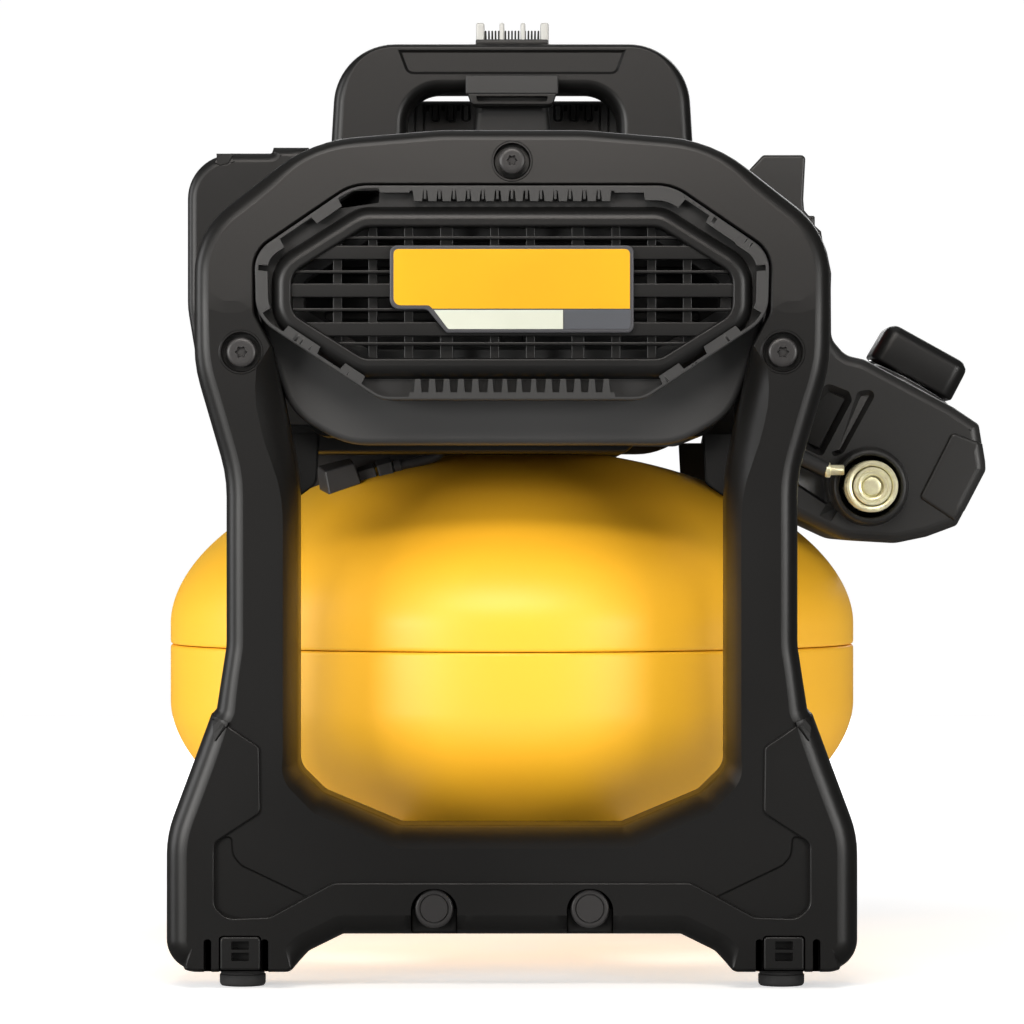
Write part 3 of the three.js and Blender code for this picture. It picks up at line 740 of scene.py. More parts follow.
def panel_lines():
    lines = []
    for side in (-1, 1):
        patch = [[121, 31, 4], [127, 36], [127, 62], [116.6, 64.4, 2], [116.0, 56, 6], [112.6, 52.0, 6],
                 [84.5, 38.6], [101, 26]]
        patch = [[side * x, z, *r] for x, z, *r in patch]
        patch = spread(fillet(patch if side > 0 else patch[::-1], 0.3), 6)
        lines += pocket(patch, POCKET, 0, 0.9)
    for x, z, radius in ARCH_SCREWS.values():
        for outwards, depth in ((1.5, 0), (1.1, -0.35), (0.6, -0.35), (0.1, 0.4), (0, 3.4)):
            lines.append((circle(x, z, radius + outwards), depth, True))
    return lines


SLOTS_X = (103.1, 126.9)                # grooves either side of each foot's clip


def make_foot_clips(suffix, far):
    """The small clip with two windows over each foot."""
    for place, x in (("rear", -FOOT_X), ("front", FOOT_X)):
        frame_loop = rectangle(x - 8.4, x + 8.4, 8.2, 22, 0.8, 1.5, 0.5)
        lines = []
        for low in (11.9, 16.6):
            window = rectangle(x - 3.7, x + 3.7, low, low + 3.5, 0.4, step=0.8)
            lines += pocket(window, 4.5, 0, 0.2)
        clip = plate(f"foot_clip_{place}_{suffix}", frame_loop, [], 6, BLACK, front=(0.7, 0.7),
                     lines=lines, far=far, segments=3)
        attach(clip)


def panel_cutters(far):
    """The notch round each base bolt, and the grooves and the clip's seat over each foot."""
    cutters = []
    for x, _ in BASE_BOLTS.values():
        cutters.append(cutter(rectangle(x - 9.7, x + 9.7, 18, 42.0, 0, 9.3, 0.15), 14, far))
    for x in SLOTS_X:
        for side in (-1, 1):
            slot = rectangle(side * x - 1.6, side * x + 1.6, 4, 21, 0, 1.4, 0.4)
            cutters.append(cutter(slot, 12, far))
    for x in (-FOOT_X, FOOT_X):
        cutters.append(cutter(rectangle(x - 8.9, x + 8.9, 4, 22.5, 0, 1.8, 0.4), 12, far))
    return cutters


def arch_grid(outer, opening):
    """Extra points on the arch, so that its lean is smooth."""
    xs, zs = np.meshgrid(np.arange(-126, 127, 6.0), np.arange(272, 356, 5.0))
    points = np.stack([xs.ravel(), zs.ravel()], 1)
    keep = inside(points, offset(outer, 11)) & ~inside(points, offset(opening, -3))
    for x, z, radius in ARCH_SCREWS.values():
        keep &= np.hypot(points[:, 0] - x, points[:, 1] - z) > radius + 4
    return points[keep]


def make_end_panel(suffix, far):
    outer = spread(fillet(OUTER, 0.1), 8)
    opening = spread(fillet(OPENING, 0.1), 8)
    piece = plate(f"side_frame_{suffix}_panel", outer, [opening], PANEL_DEPTH - LEG_LIFT, ARCH_BLACK,
                  front=(outer_width, outer_depth), back=(3, 3),
                  hole_front=(opening_width, opening_depth), hole_back=(1.5, 1.5),
                  lines=panel_lines(), lean=panel_lean, face=LEG_LIFT, far=far,
                  loose=arch_grid(outer, opening), hole_roundness=0.3)
    carve(piece, panel_cutters(far))
    lower, upper = leg_loop(outer)
    width = np.concatenate([outer_width(lower), np.full(len(upper), 0.8)])
    depth = np.concatenate([outer_depth(lower), np.full(len(upper), 1.0)])
    legs = plate(f"side_frame_{suffix}_legs", joined(lower, upper, 0.15), [], PANEL_DEPTH - 6, ARCH_BLACK,
                 front=(width, depth), back=(1, 1), far=far)
    carve(legs, panel_cutters(far))
    attach(legs, "panel_plastic")
    attach(piece, "panel_plastic", f"side_frame_{suffix}")
    for place, (x, _) in BASE_BOLTS.items():
        seat = rectangle(x - 9.6, x + 9.6, 23.2, 33.5, 0.8, 0, 0.5)
        block = plate(f"bolt_seat_{place}_{suffix}", seat, [], 20, ARCH_BLACK, front=(0.8, 0.8),
                      face=LEG_LIFT + 4.6, far=far, segments=3)
        attach(block)
    make_foot_clips(suffix, far)


# ---------------------------------------------------------------- fasteners and feet
def star(x, z, radius, lobes=6):
    turn = np.linspace(0, 2 * math.pi, lobes * 8, endpoint=False)
    reach = radius * (0.86 + 0.14 * np.cos(turn * lobes))
    return np.stack([x + reach * np.cos(turn), z + reach * np.sin(turn)], 1)


def make_fasteners(suffix, far):
    for place, (x, z, _) in ARCH_SCREWS.items():
        node = f"arch_screw_{place}_{suffix}"
        lo, hi = box_mm(node)
        radius = (hi.x - lo.x) / 2
        head = plate(f"{node}_head", circle(x, z, radius, 48), [], 3.2, SCREW, front=(1.8, 1.0),
                     lines=pocket(star(x, z, radius * 0.42), 1.6), face=1.9, far=far)
        attach(head, "black_steel", node)
    for place, (x, z) in BASE_BOLTS.items():
        node = f"base_bolt_{place}_{suffix}"
        rings = []
        for radius, depth in ((6.15, 0), (6.05, 0.7), (5.75, 0.7), (5.6, 0)):
            rings.append((circle(x, z, radius, 48), depth, True))
        head = plate(f"{node}_head", circle(x, z, 8.2, 56), [], 7.5, SCREW, front=(1.3, 1.3),
                     lines=rings, face=2.0, far=far)
        attach(head, "black_steel", node)


def make_feet():
    for end, sign in (("near", -1), ("far", 1)):
        for place, side in (("rear", -1), ("front", 1)):
            node = f"foot_{place}_{end}"
            lo, hi = box_mm(node)
            radius = (hi.x - lo.x) / 2
            profile = [(0, 0.5), (radius - 2.2, 0.5), (radius - 1.8, 0), (radius - 0.8, 0),
                       (radius - 0.2, 0.7), (radius, 1.6), (radius, hi.z - 2.4), (radius - 0.5, hi.z - 2),
                       (radius - 0.5, hi.z - 1.2), (radius, hi.z - 0.8), (radius, hi.z), (0, hi.z)]
            foot = revolve(f"{node}_pad", profile, RUBBER, 64, at=(side * FOOT_X, sign * FOOT_Y, 0))
            attach(foot, "rubber", node)


# ---------------------------------------------------------------- vents
RING_OUT = mirrored([
    [0, 245.7], [55, 245.7, 14], [106.9, 280, 16], [107.5, 307.4, 14], [66.8, 335.4, 22], [0, 335.4],
])
RIM_Z = (259.6, 280.0, 300.8, 321.8)    # heights of the grille window's four corners
RIM_X = (63.0, 95.7, 95.7, 62.5)        # and how far out each one is
RIM_OUT = mirrored([[0, RIM_Z[0]]] + [[x, z, 12] for x, z in zip(RIM_X, RIM_Z)] + [[0, RIM_Z[3]]])
COMB_PITCH = 6.05
COMB_HALF = 42.6


def ring_band(loop):
    """How wide the ring's face is round its loop: tabs, gaps, and a comb above and below."""
    x, z = np.abs(loop[:, 0]), loop[:, 1]
    upper, lower = z > 300, z < 281.5
    left, right = upper & (loop[:, 0] < 0), upper & (loop[:, 0] > 0)
    width = np.full(len(loop), 5.3)
    for zone, low, high, value in (
            (left, 84.4, 97.7, 1.4), (left, 73.6, 84.4, 4.8), (left, 55.3, 73.6, 1.2),
            (upper, 43, 55.3, 3.0), (right, 83.3, 96.2, 4.8), (right, 73.2, 83.3, 1.6),
            (right, 55.3, 73.2, 6.2), (lower, 95.9, 110, 1.5), (lower, 82.3, 95.9, 4.8),
            (lower, 72.2, 82.3, 1.6), (lower, 63.6, 72.2, 4.8), (lower, 43, 63.6, 1.3)):
        width = np.where(zone & (x >= low) & (x < high), value, width)
    width = np.where((z > 299.7) & (z < 302.6), 1.4, width)
    phase = np.abs((x / COMB_PITCH) % 1 - 0.5) * 2      # 1 between teeth, 0 at a tooth's middle
    comb = x < COMB_HALF
    width = np.where(upper & comb, np.where(phase > 0.62, 2.2, 6.6), width)
    return np.where(lower & comb, np.where(phase < 0.42, 8.8, 3.2), width)


def rim_half_width(z):
    """Half the width of the grille's window at a height."""
    return float(np.interp(z, RIM_Z, RIM_X))


def rim_heights(x):
    """Lowest and highest point of the grille's window at a place across it."""
    low = np.interp(abs(x), RIM_X[:2], RIM_Z[:2])
    return float(low), float(np.interp(abs(x), RIM_X[:1:-1], RIM_Z[:1:-1]))


def bar(x0, x1, z0, z1, face, thick, far, material):
    """One straight bar of the grille, its front a given distance behind the panel's face."""
    front = END_Y - face if far else face - END_Y
    y0, y1 = sorted((front, front - thick if far else front + thick))
    edge = min(0.45, (z1 - z0) / 4, (x1 - x0) / 4)
    return rounded_box("bar", (x0, y0, z0), (x1, y1, z1), edge, material, 2)


def make_vent(suffix, far):
    ring_out = spread(fillet(RING_OUT, 0.12), 0.55)
    rim_out = spread(fillet(RIM_OUT, 0.12), 8)

    band = ring_band(ring_out)
    ring = plate(f"vent_ring_{suffix}_face", ring_out, [offset(ring_out, band)], 5, GREY,
                 front=(0.7, 0.7), back=(0.2, 0.2), hole_front=(0.0, 0.0), hole_back=(0.0, 0.0), face=2.0,
                 lean=ring_lean, far=far, segments=3)
    channel = plate(f"vent_ring_{suffix}_channel", offset(ring_out, 0.3)[::4], [offset(rim_out, -0.6)],
                    17, DARK, front=(0.3, 0.3), face=9.5, far=far, segments=2)
    slot = fillet([[-76.4, 325.4, 0.8], [-55.6, 328.4, 0.8], [-55.6, 333.6, 0.8], [-66.4, 333.4, 5],
                   [-74.4, 328.2, 2]], 0.3)
    carve(channel, [cutter(slot, 30, far, 2)])
    attach(ring, "grey_plastic", f"vent_ring_{suffix}")
    attach(channel, "grey_plastic")

    ribs = [bar(x - 0.55, x + 0.55, 329.6, 333.6, 4.2, 4, far, GREY)
            for x in (COMB_PITCH * k for k in range(-6, 7))]
    teeth = merge(f"vent_comb_{suffix}", ribs)
    attach(teeth)

    rim = plate(f"vent_rim_{suffix}", offset(rim_out, -5.2), [offset(rim_out, 3.7)], 15, BLACK,
                front=(5.6, 8.5), hole_front=(1.0, 1.4), back=(0.3, 0.3), face=3.3, far=far, segments=8)
    attach(rim, "grey_plastic", f"vent_grille_{suffix}")

    bars = []
    for z, half, face in ((307.4, 2.85, 5.2), (291.6, 2.85, 5.2), (275.4, 2.85, 5.2),
                          (313.6, 0.6, 6.2), (299.4, 0.6, 6.2), (283.6, 0.6, 6.2), (269.4, 0.6, 6.2)):
        below, above = rim_half_width(z - half), rim_half_width(z + half)
        reach = max(below, above) - (2.2 if below == above else 6.5)
        bars.append(bar(-reach, reach, z - half, z + half, face, 4.5, far, BLACK))
    for x in (-73.1, -58.3, -43.3, -27.4, -7.3, 7.7, 27.6, 43.5, 58.5, 73.4):
        half = 2.7 if abs(abs(x) - 27.5) < 0.2 else 1.9
        low, high = rim_heights(abs(x) + half)
        bars.append(bar(x - half, x + half, low + 2.2, high - 2.2, 10.5, 4, far, BLACK))
    grille = merge(f"vent_grille_{suffix}_bars", bars)
    attach(grille, "grey_plastic")
    make_badge(suffix, far)
    make_baffle(suffix, far)

    cover_loop = spread(fillet(mirrored([
        [0, 227.3], [70, 227.3, 34], [92.5, 240, 24], [102.5, 266, 60], [106.5, 282, 20], [106.5, 301, 14],
        [56, 334.7, 12], [0, 334.7]]), 0.12), 8)
    lo, hi = box_mm(f"end_cover_{suffix}")
    depth = hi.y - lo.y
    cover = plate(f"end_cover_{suffix}_shell", cover_loop, [offset(rim_out, 8)], depth, GREY,
                  front=(2.6, 3.2), hole_front=(0.5, 0.5), face=END_Y - max(-lo.y, hi.y), far=far)
    attach(cover, "grey_plastic", f"end_cover_{suffix}")


def make_baffle(suffix, far):
    """Dark louvred wall inside the shroud, seen through the grille."""
    outline = fillet(mirrored([[0, 236], [78, 236, 10], [98, 258, 14], [98, 328, 18], [76, 350, 12],
                               [0, 350]]), 0.3)
    lines = []
    for row in range(9):
        z = 252 + 9.5 * row
        for x0, x1 in ((-80, -4), (4, 80)):
            lines += pocket(rectangle(x0, x1, z, z + 4, 1.5, step=0.5), 1.6, 0, 0.6)
    wall = plate(f"vent_baffle_{suffix}", outline, [], 2.4, DARK, front=(0.6, 0.6), lines=lines,
                 face=48, far=far, segments=3)
    attach(wall, "shroud_plastic")


def ring_lean(points):
    return 4.0 * np.clip((points[:, 1] - 285) / 75, 0, 1)


def make_badge(suffix, far):
    outline = fillet([[-27.4, 273.8, 1.5], [49.5, 273.8, 2.5], [50.8, 276, 2], [50.8, 310.3, 3],
                      [-51, 310.3, 3], [-51, 283.6, 4], [-35.5, 283.6, 3]], 0.3)
    field = fillet([[-49.4, 285.2, 3], [-34.6, 285.2, 2], [-33.2, 283.8], [49.2, 283.8], [49.2, 308.7, 2],
                    [-49.4, 308.7, 2]], 0.3)
    white = fillet([[-32.6, 283.3], [-26.6, 275.3, 1], [21.3, 275.3], [21.3, 283.3]], 0.3)
    grey = fillet([[21.8, 275.3], [48.6, 275.3, 1], [49.4, 276.5, 1], [49.4, 283.3], [21.8, 283.3]], 0.3)
    base = plate(f"badge_{suffix}_base", outline, [], 3, BADGE_RIM, front=(0.6, 0.6), face=2.5, far=far)
    attach(base, None, f"badge_{suffix}")
    for part, loop, material in (("field", field, BADGE_YELLOW), ("strip", white, BADGE_WHITE),
                                 ("end", grey, BADGE_GREY)):
        inlay = plate(f"badge_{suffix}_{part}", loop, [], 0.8, material, front=(0.12, 0.12),
                      back=(0.05, 0.05), face=2.3, far=far, segments=2)
        attach(inlay, "badge_face")


# ---------------------------------------------------------------- handle
def make_handle():
    lo, hi = box_mm("handle")
    half_depth = 20.0
    top = 411.6
    outline = spread(fillet(mirrored([[0, lo.z], [82, lo.z], [82, 368, 30], [79.4, top, 28],
                                      [0, top]]), 0.1), 8)
    opening = spread(fillet(mirrored([[0, 361], [48, 361, 4], [48, 390.2, 15], [0, 390.2]]), 0.12), 8)
    indent = fillet([[-51.8, 408.6], [-47.6, 397.4, 4], [47.6, 397.4, 4], [51.8, 408.6]], 0.3)

    def edge(loop):
        return 5.0 - 3.1 * between(np.abs(normals(loop)[:, 1]), 0.25, 0.98)

    for suffix, far in ENDS:
        arm = plate(f"handle_{suffix}_half", outline, [opening], half_depth, BLACK, front=(edge, 6.0),
                    hole_front=(4.6, 7.0), back=(0, 0), hole_back=(0, 0), face=END_Y - half_depth,
                    lines=pocket(indent, 1.3, 0, 1.3), far=far, sharp=40)
        attach(arm, "shroud_plastic", *([] if far else ["handle"]))

    # The fins are drawn pale grey: a painted reflection standing in for light on black plastic.
    parts = []
    for x, half in ((-14.4, 1.9), (-4.6, 1.1), (5.0, 1.1), (14.8, 1.9)):
        parts.append(rounded_box("fin", (x - half, -15, top - 1), (x + half, 15, hi.z),
                                 min(1.0, half * 0.8), PALE_PAINTED_REFLECTION))
    fins = merge("handle_fins", parts)
    attach(fins)
    ribs = [rounded_box("rib", (-16.5, -15.5, top - 0.8), (16.5, 15.5, top + 2.2), 0.8, BLACK, 2)]
    for k in range(19):
        x = -13.5 + 1.5 * k
        ribs.append(rounded_box("rib", (x - 0.4, -14, top), (x + 0.4, 14, top + 6.2), 0.25, BLACK, 1))
    pad = merge("handle_pad", ribs)
    attach(pad)

    tab = [rounded_box("tab", (-21, -25, 388), (21, -19, 396.8), 0.9, GREY, 3)]
    clip = merge("handle_clip_tab", tab)
    attach(clip, "grey_plastic", "handle_clip")
    frame_loop = fillet([[-18.2, 383.2, 2], [18.2, 383.2, 2], [20, 388.4], [-20, 388.4]], 0.4)
    slot = fillet([[-15.6, 384.6, 0.6], [15.6, 384.6, 0.6], [16.4, 387.2, 0.6], [-16.4, 387.2, 0.6]], 0.4)
    catch = plate("handle_clip_frame", frame_loop, [], 16, BLACK, front=(0.6, 0.6), face=END_Y - 24.6,
                  lines=pocket(slot, 6, 0, 0.3))
    attach(catch)
    column = fillet([[-19.5, 357], [19.5, 357], [16.5, 384, 1], [-16.5, 384, 1]], 0.4)
    post = plate("handle_clip_post", column, [], 22, DARK, front=(3.0, 4.0), face=END_Y - 12)
    attach(post)


def make_top_vent():
    lo, hi = box_mm("top_vent_cover")
    outline = spread(rectangle(lo.x, hi.x, lo.z, hi.z, 0, 9, 0.15), 8)
    lines = []
    for side in (-1, 1):
        for k in range(3):
            x = side * (21.2 + 7.1 * k)
            for half, low, depth in ((2.2, 379.0, 0.0), (1.95, 379.3, 2.2), (1.35, 380.0, 2.2),
                                     (1.1, 380.2, 0.0)):
                cup = rectangle(x - half, x + half, low, hi.z - 2.4 + 0.2 * half, half * 0.8, 0, 0.4)
                lines.append((cup, depth, True))
            gap = x + side * 3.55
            lines += pocket(rectangle(gap - 0.9, gap + 0.9, 384.4, 387.2), 2.5, 0, 0.2)
        for x in (side * 40.6, side * 44.6):
            lines += pocket(rectangle(x - 0.5, x + 0.5, 368.0, 386.8), 2.2, 0, 0.15)
    length = hi.y - lo.y
    for suffix, far in ENDS:
        face = END_Y + (lo.y if not far else -hi.y)
        # The cover halves are drawn in the grey moulding, lighter than the black shroud plastic they are:
        # painted light on their shaded face.
        half = plate(f"top_vent_cover_{suffix}", outline, [], length / 2, GREY, front=(1.8, 1.8), back=(0, 0),
                     lines=lines, face=face, far=far)
        attach(half, "shroud_plastic", *([] if far else ["top_vent_cover"]))
    louvres = []
    for k in range(9):
        y = lo.y + 12 + k * 10.5
        louvres.append(rounded_box("louvre", (-40, y, hi.z - 1.0), (40, y + 5.5, hi.z - 0.05), 0.8, BLACK, 2))
    top = merge("top_vent_louvres", louvres)
    attach(top)


# ---------------------------------------------------------------- tank
def dome(r, rise):
    """Height of the tank's dome at a radius: a superellipse, fuller than an ellipse at the rim."""
    return rise * max(0.0, 1 - (r / TANK_R) ** 2) ** (1 / 1.85)


def make_tank():
    rim_up, rim_down = 10.0, 26.0
    for name, rim, sign in (("tank_upper_shell", rim_up, 1), ("tank_lower_shell", rim_down, -1)):
        rise = (TANK_TOP - SEAM_Z if sign > 0 else SEAM_Z - TANK_BOTTOM) - rim
        profile = [(TANK_R - 2.5, 0.2), (TANK_R - 0.9, 0.2), (TANK_R - 0.35, 0.5), (TANK_R - 0.05, 1.2),
                   (TANK_R, 2.2), (TANK_R, rim * 0.6)]
        for k in range(49):
            turn = k / 48 * math.pi / 2
            r = TANK_R * math.cos(turn)
            profile.append((r if k < 48 else 0.0, rim + dome(r, rise)))
        inner = [(max(0.0, r - 2.5), h - 2.5) for r, h in profile[6:-1]][::-1]
        profile = profile + [(0.0, profile[-1][1] - 2.5)] + inner
        if sign < 0:
            profile = [(r, -h) for r, h in profile[::-1]]
        piece = revolve(name + "_skin", profile, YELLOW, 160, at=(0, 0, SEAM_Z), sharp=60)
        attach(piece, "tank_paint", name)


# ---------------------------------------------------------------- battery dock and shroud
def make_dock():
    lo, hi = box_mm("battery_dock")
    outline = spread(fillet([
        [hi.x, lo.z + 77], [-91, 345], [-91, hi.z], [-106.6, hi.z], [-107.4, 359.4, 1], [-126, 359.4, 1],
        [-128.4, 357.6, 1], [-131, 359, 1], [lo.x, 359, 20], [lo.x, 290, 40], [-141, 266, 14],
        [-126, lo.z, 8], [hi.x, lo.z]], 0.12), 8)
    shell = plate("battery_dock_shell", outline, [], hi.y - lo.y, BLACK, front=(4.2, 4.2), back=(4.2, 4.2),
                  face=END_Y + lo.y)
    bay = rounded_box("bay", (lo.x - 8, -45, lo.z - 10), (-113, 45, 349), 2.5, DARK)
    shell = carve(shell, [bay])
    attach(shell, "shroud_plastic", "battery_dock")
    rails = []
    for side in (-1, 1):
        y = side * 43.2
        rails.append(rounded_box("rail", (-141, y - 1.8, 268), (-113.6, y + 1.8, 346), 0.8, BLACK))
    guides = merge("battery_dock_rails", rails)
    attach(guides)


def make_shroud():
    lo, hi = box_mm("pump_shroud")
    outline = spread(fillet(mirrored([[0, lo.z], [82, lo.z, 8], [hi.x, 256, 16], [hi.x, 330, 22],
                                      [78, hi.z, 14], [0, hi.z]]), 0.12), 8)
    shell = plate("pump_shroud_shell", outline, [offset(outline, 3)], hi.y - lo.y, BLACK, front=(0.5, 0.5),
                  face=END_Y + lo.y)
    drill = revolve("drill", [(0, lo.z - 4), (8, lo.z - 4), (8, lo.z + 7), (0, lo.z + 7)], DARK, 48,
                    at=(LINE_X, LINE_Y, 0))
    slots = []
    for side in (-1, 1):
        for end in (-1, 1):
            near, beyond = sorted((end * 88, end * 146))
            for k in range(7):
                z = 262 + 9 * k
                slots.append(rounded_box("slot", (side * 104 - 6, near, z), (side * 104 + 6, beyond, z + 4),
                                         1.2, DARK, 2))
    shell = carve(shell, [drill, *slots])
    attach(shell, "shroud_plastic", "pump_shroud")


# ---------------------------------------------------------------- console
TILT = math.radians(29)
KNOB_FOOT = Vector((178.2, 0, 254.6))
CONSOLE_HALF = 70
COUPLER_X, COUPLER_Z = 158.3, 210.3
TO_PANEL = Matrix.Translation(KNOB_FOOT) @ Matrix.Rotation(TILT, 4, "Y")


def on_panel(piece):
    """Moves a piece drawn round the origin onto the sloping control panel."""
    for vertex in piece.data.vertices:
        vertex.co = in_metres(TO_PANEL @ in_mm(vertex.co))
    piece.data.update()
    return piece


CONSOLE = [
    [104.5, 209.5], [128, 195.5, 10], [147.6, 186.4, 16], [170, 185.1, 16], [184, 188, 8],
    [197.4, 193, 3], [210.2, 217.5, 4], [210.0, 221.5, 3], [207.3, 238, 3], [196, 245.6, 8],
    [156.5, 266.8, 8], [148, 268.7, 10], [141.8, 276, 8], [141.6, 305, 4], [139.7, 314.4],
    [137.7, 319.5, 0.8], [137.1, 323.5, 0.8], [134.3, 326, 0.8], [134.3, 330.4, 0.8],
    [131.7, 330.4, 0.8], [129.6, 332.8, 0.8], [129.2, 337.6, 1.5], [130.2, 357.3, 2],
    [111.3, 357.3, 2], [104.5, 350],
]


def console_lines():
    """Relief on the console's side: a slanting recess, a groove beside it, and a hollow below."""
    recess = fillet([[126, 229], [137.5, 223.4, 2], [150.8, 248.6, 2.5], [149.6, 252.4, 2], [140, 256.2, 3],
                     [126, 243]], 0.3)
    groove = fillet([[140.4, 222.4, 1.5], [147, 225.2, 1.5], [162.6, 253.6, 2.5], [153.4, 252.6, 2.2]], 0.3)
    belly = fillet([[126, 210.8, 1], [138, 202.9, 8], [149.0, 195.6, 1.4], [144.4, 200.4, 6],
                    [139.6, 208.6, 6], [139.2, 215.2, 3], [126, 221.0, 1]], 0.3)
    lines = pocket(recess, 4.5, 0, 3.2) + pocket(groove, 3.0, 0, 2.2)
    return lines + pocket(belly, 3.4, 0, 1.2)


def make_nose(suffix, outline, far):
    """The console's nose, which stands a little proud of its side along a slanting step."""
    proud = 1.3
    rim = outline[(outline[:, 0] > 190) & (outline[:, 1] > 195.6) & (outline[:, 1] < 229.5)]
    step = np.array([[206.2, 230.2], [196.4, 234.0], [194.4, 233.2], [181.0, 206.6], [181.4, 204.8],
                     [196.0, 195.2]])
    rounding = np.concatenate([np.full(len(rim), 4.6), np.full(len(step), proud)])
    nose = plate(f"console_{suffix}_nose", joined(rim, step, 0.08), [], 14, CONSOLE_BLACK_PAINTED_LIGHT,
                 front=(rounding, rounding), back=(0.3, 0.3), face=END_Y - CONSOLE_HALF - proud, far=far)
    attach(nose, "shroud_plastic")


def make_console():
    outline = spread(fillet(CONSOLE, 0.12), 8)

    def edge(loop):
        return np.where(loop[:, 1] > 300, 1.2, 4.6)

    halves = []
    for suffix, far in ENDS:
        # The console side, nose and collar use the lightened black: painted light, not a paler plastic.
        side = plate(f"console_{suffix}", outline, [], CONSOLE_HALF, CONSOLE_BLACK_PAINTED_LIGHT, front=(edge, edge),
                     back=(0, 0), lines=console_lines(), face=END_Y - CONSOLE_HALF, far=far, sharp=38)
        halves.append(side)
        make_nose(suffix, outline, far)
    for half, end in zip(halves, (-1, 1)):
        wells = [on_panel(revolve("well", [(0, -10), (18.4, -10), (18.4, 12), (0, 12)], DARK, 64,
                                  at=(0, end * GAUGE_Y, 0)))]
        if end < 0:
            wells.append(revolve("bore", [(0, -95), (13.8, -95), (13.8, -40), (0, -40)], DARK, 64,
                                 axis=(0, 1, 0), at=(COUPLER_X, 0, COUPLER_Z)))
        else:
            wells.append(revolve("port", [(0, 40), (7.5, 40), (7.5, 90), (0, 90)], DARK, 48, axis=(0, 1, 0),
                                 at=(152, 0, 209)))
        carve(half, wells)
        attach(half, "shroud_plastic")
    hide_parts("front_cover", "console_lower_shell")

    collar = revolve("coupler_collar", [
        (13.8, -60), (13.8, -76.6), (14.3, -77.8), (15.2, -78), (16.2, -77.4), (16.6, -76.2), (16.6, -75.2),
        (16.1, -74.8), (16.1, -74.2), (16.6, -73.6), (17.0, -71.8), (17.8, -69.6), (17.8, -60)],
        CONSOLE_BLACK_PAINTED_LIGHT, 96, axis=(0, 1, 0), at=(COUPLER_X, 0, COUPLER_Z), sharp=50)
    attach(collar)
    make_coupler()
    make_knob()
    for name, y in (("tank", -GAUGE_Y), ("outlet", GAUGE_Y)):
        make_gauge(name, y)
    make_switch()


def make_coupler():
    at = (COUPLER_X, 0, COUPLER_Z)
    lo, hi = box_mm("coupler_sleeve")
    rings = [(8.8, hi.y), (8.8, lo.y + 1), (9.1, lo.y + 0.3), (9.6, lo.y), (10.6, lo.y), (11.2, lo.y + 0.4),
             (11.4, lo.y + 1.2)]
    y = lo.y + 3
    while y < hi.y - 2:
        rings += [(11.4, y), (10.9, y + 0.5), (10.9, y + 0.9), (11.4, y + 1.4)]
        y += 2.6
    rings += [(11.4, hi.y - 0.6), (11, hi.y)]
    sleeve = revolve("coupler_sleeve_turned", rings, BRASS, 96, axis=(0, 1, 0), at=at)
    attach(sleeve, "brass", "coupler_sleeve", body="coupler_sleeve")
    lo, hi = box_mm("coupler_body")
    body = revolve("coupler_body_turned", [
        (0, lo.y + 2.6), (2.0, lo.y + 2.2), (3.9, lo.y + 2.6), (4.1, lo.y + 4), (4.8, lo.y + 4),
        (4.8, lo.y + 1), (5.3, lo.y + 0.2), (5.9, lo.y), (6.5, lo.y), (6.6, lo.y + 0.5),
        (6.9, lo.y + 0.5), (7.0, lo.y + 0.1), (8.0, lo.y + 0.1), (8.4, lo.y + 0.5), (8.4, -62),
        (8.4, hi.y), (0, hi.y)],
        BRASS, 96, axis=(0, 1, 0), at=at)
    nut = plate("coupler_nut", circle(COUPLER_X, COUPLER_Z, 11.4, 6), [], 16, BRASS, front=(0.8, 0.8),
                back=(0.8, 0.8), face=END_Y - 60, segments=3)
    attach(body, "brass", "coupler_body")
    attach(nut)


def tube_piece(name, path, radius, material, sides=24):
    """A round tube along a path in millimetres, smoothed through its points."""
    curve = bpy.data.curves.new(name, "CURVE")
    curve.dimensions = "3D"
    spline = curve.splines.new("NURBS")
    spline.points.add(len(path) - 1)
    for point, place in zip(spline.points, path):
        point.co = (*in_metres(place), 1)
    spline.order_u = min(4, len(path))
    spline.use_endpoint_u = True
    curve.resolution_u = 10
    curve.bevel_depth = radius * MM
    curve.bevel_resolution = sides // 4
    curve.use_fill_caps = True
    piece = bpy.data.objects.new(name, curve)
    bpy.context.scene.collection.objects.link(piece)
    curve.materials.append(material)
    return piece


def make_belly_pan():
    """The shallow tray under the pump housing."""
    outline = spread(fillet([[-100, 224.6, 3], [50, 224.6, 6], [60, 237], [-106, 237]], 0.3), 10)
    tray = plate("belly_pan", outline, [], 240, BLACK, front=(1.5, 3), back=(1.5, 3), face=END_Y - 120)
    drill = revolve("drill", [(0, 215), (8, 215), (8, 240), (0, 240)], DARK, 32,
                    at=(LINE_X, LINE_Y, 0))
    carve(tray, [drill])
    attach(tray, "shroud_plastic")


def make_gussets():
    """Short struts that hang the pump housing between the columns."""
    for end, far in ENDS:
        for place, side, reach in (("rear", -1, 84), ("front", 1, 83)):
            strut = [[side * reach, 231], [side * (reach + 1), 212, 3], [side * 97, 203, 3], [side * 97, 231]]
            loop = fillet(strut if side < 0 else strut[::-1], 0.3)
            piece = plate(f"housing_strut_{place}_{end}", loop, [], 14, BLACK, front=(1.2, 1.2),
                          back=(1.2, 1.2), face=END_Y - 159, far=far)
            attach(piece, "shroud_plastic")


def make_cradle():
    """The folded cross-member the pump stands on, just above the tank."""
    for name, y in (("near", -34), ("far", 40)):
        rise = TANK_TOP - SEAM_Z - 10
        foot = [[x, SEAM_Z + 8 + dome(math.hypot(x, y), rise)] for x in range(-96, -11, 6)]
        loop = fillet(foot + [[-14, 229, 1], [-98, 229, 1]], 0.6)
        piece = plate(f"pump_cradle_{name}", loop, [], 3, SCREW, front=(0.6, 0.6), back=(0.6, 0.6),
                      face=END_Y + y)
        attach(piece, "black_steel")


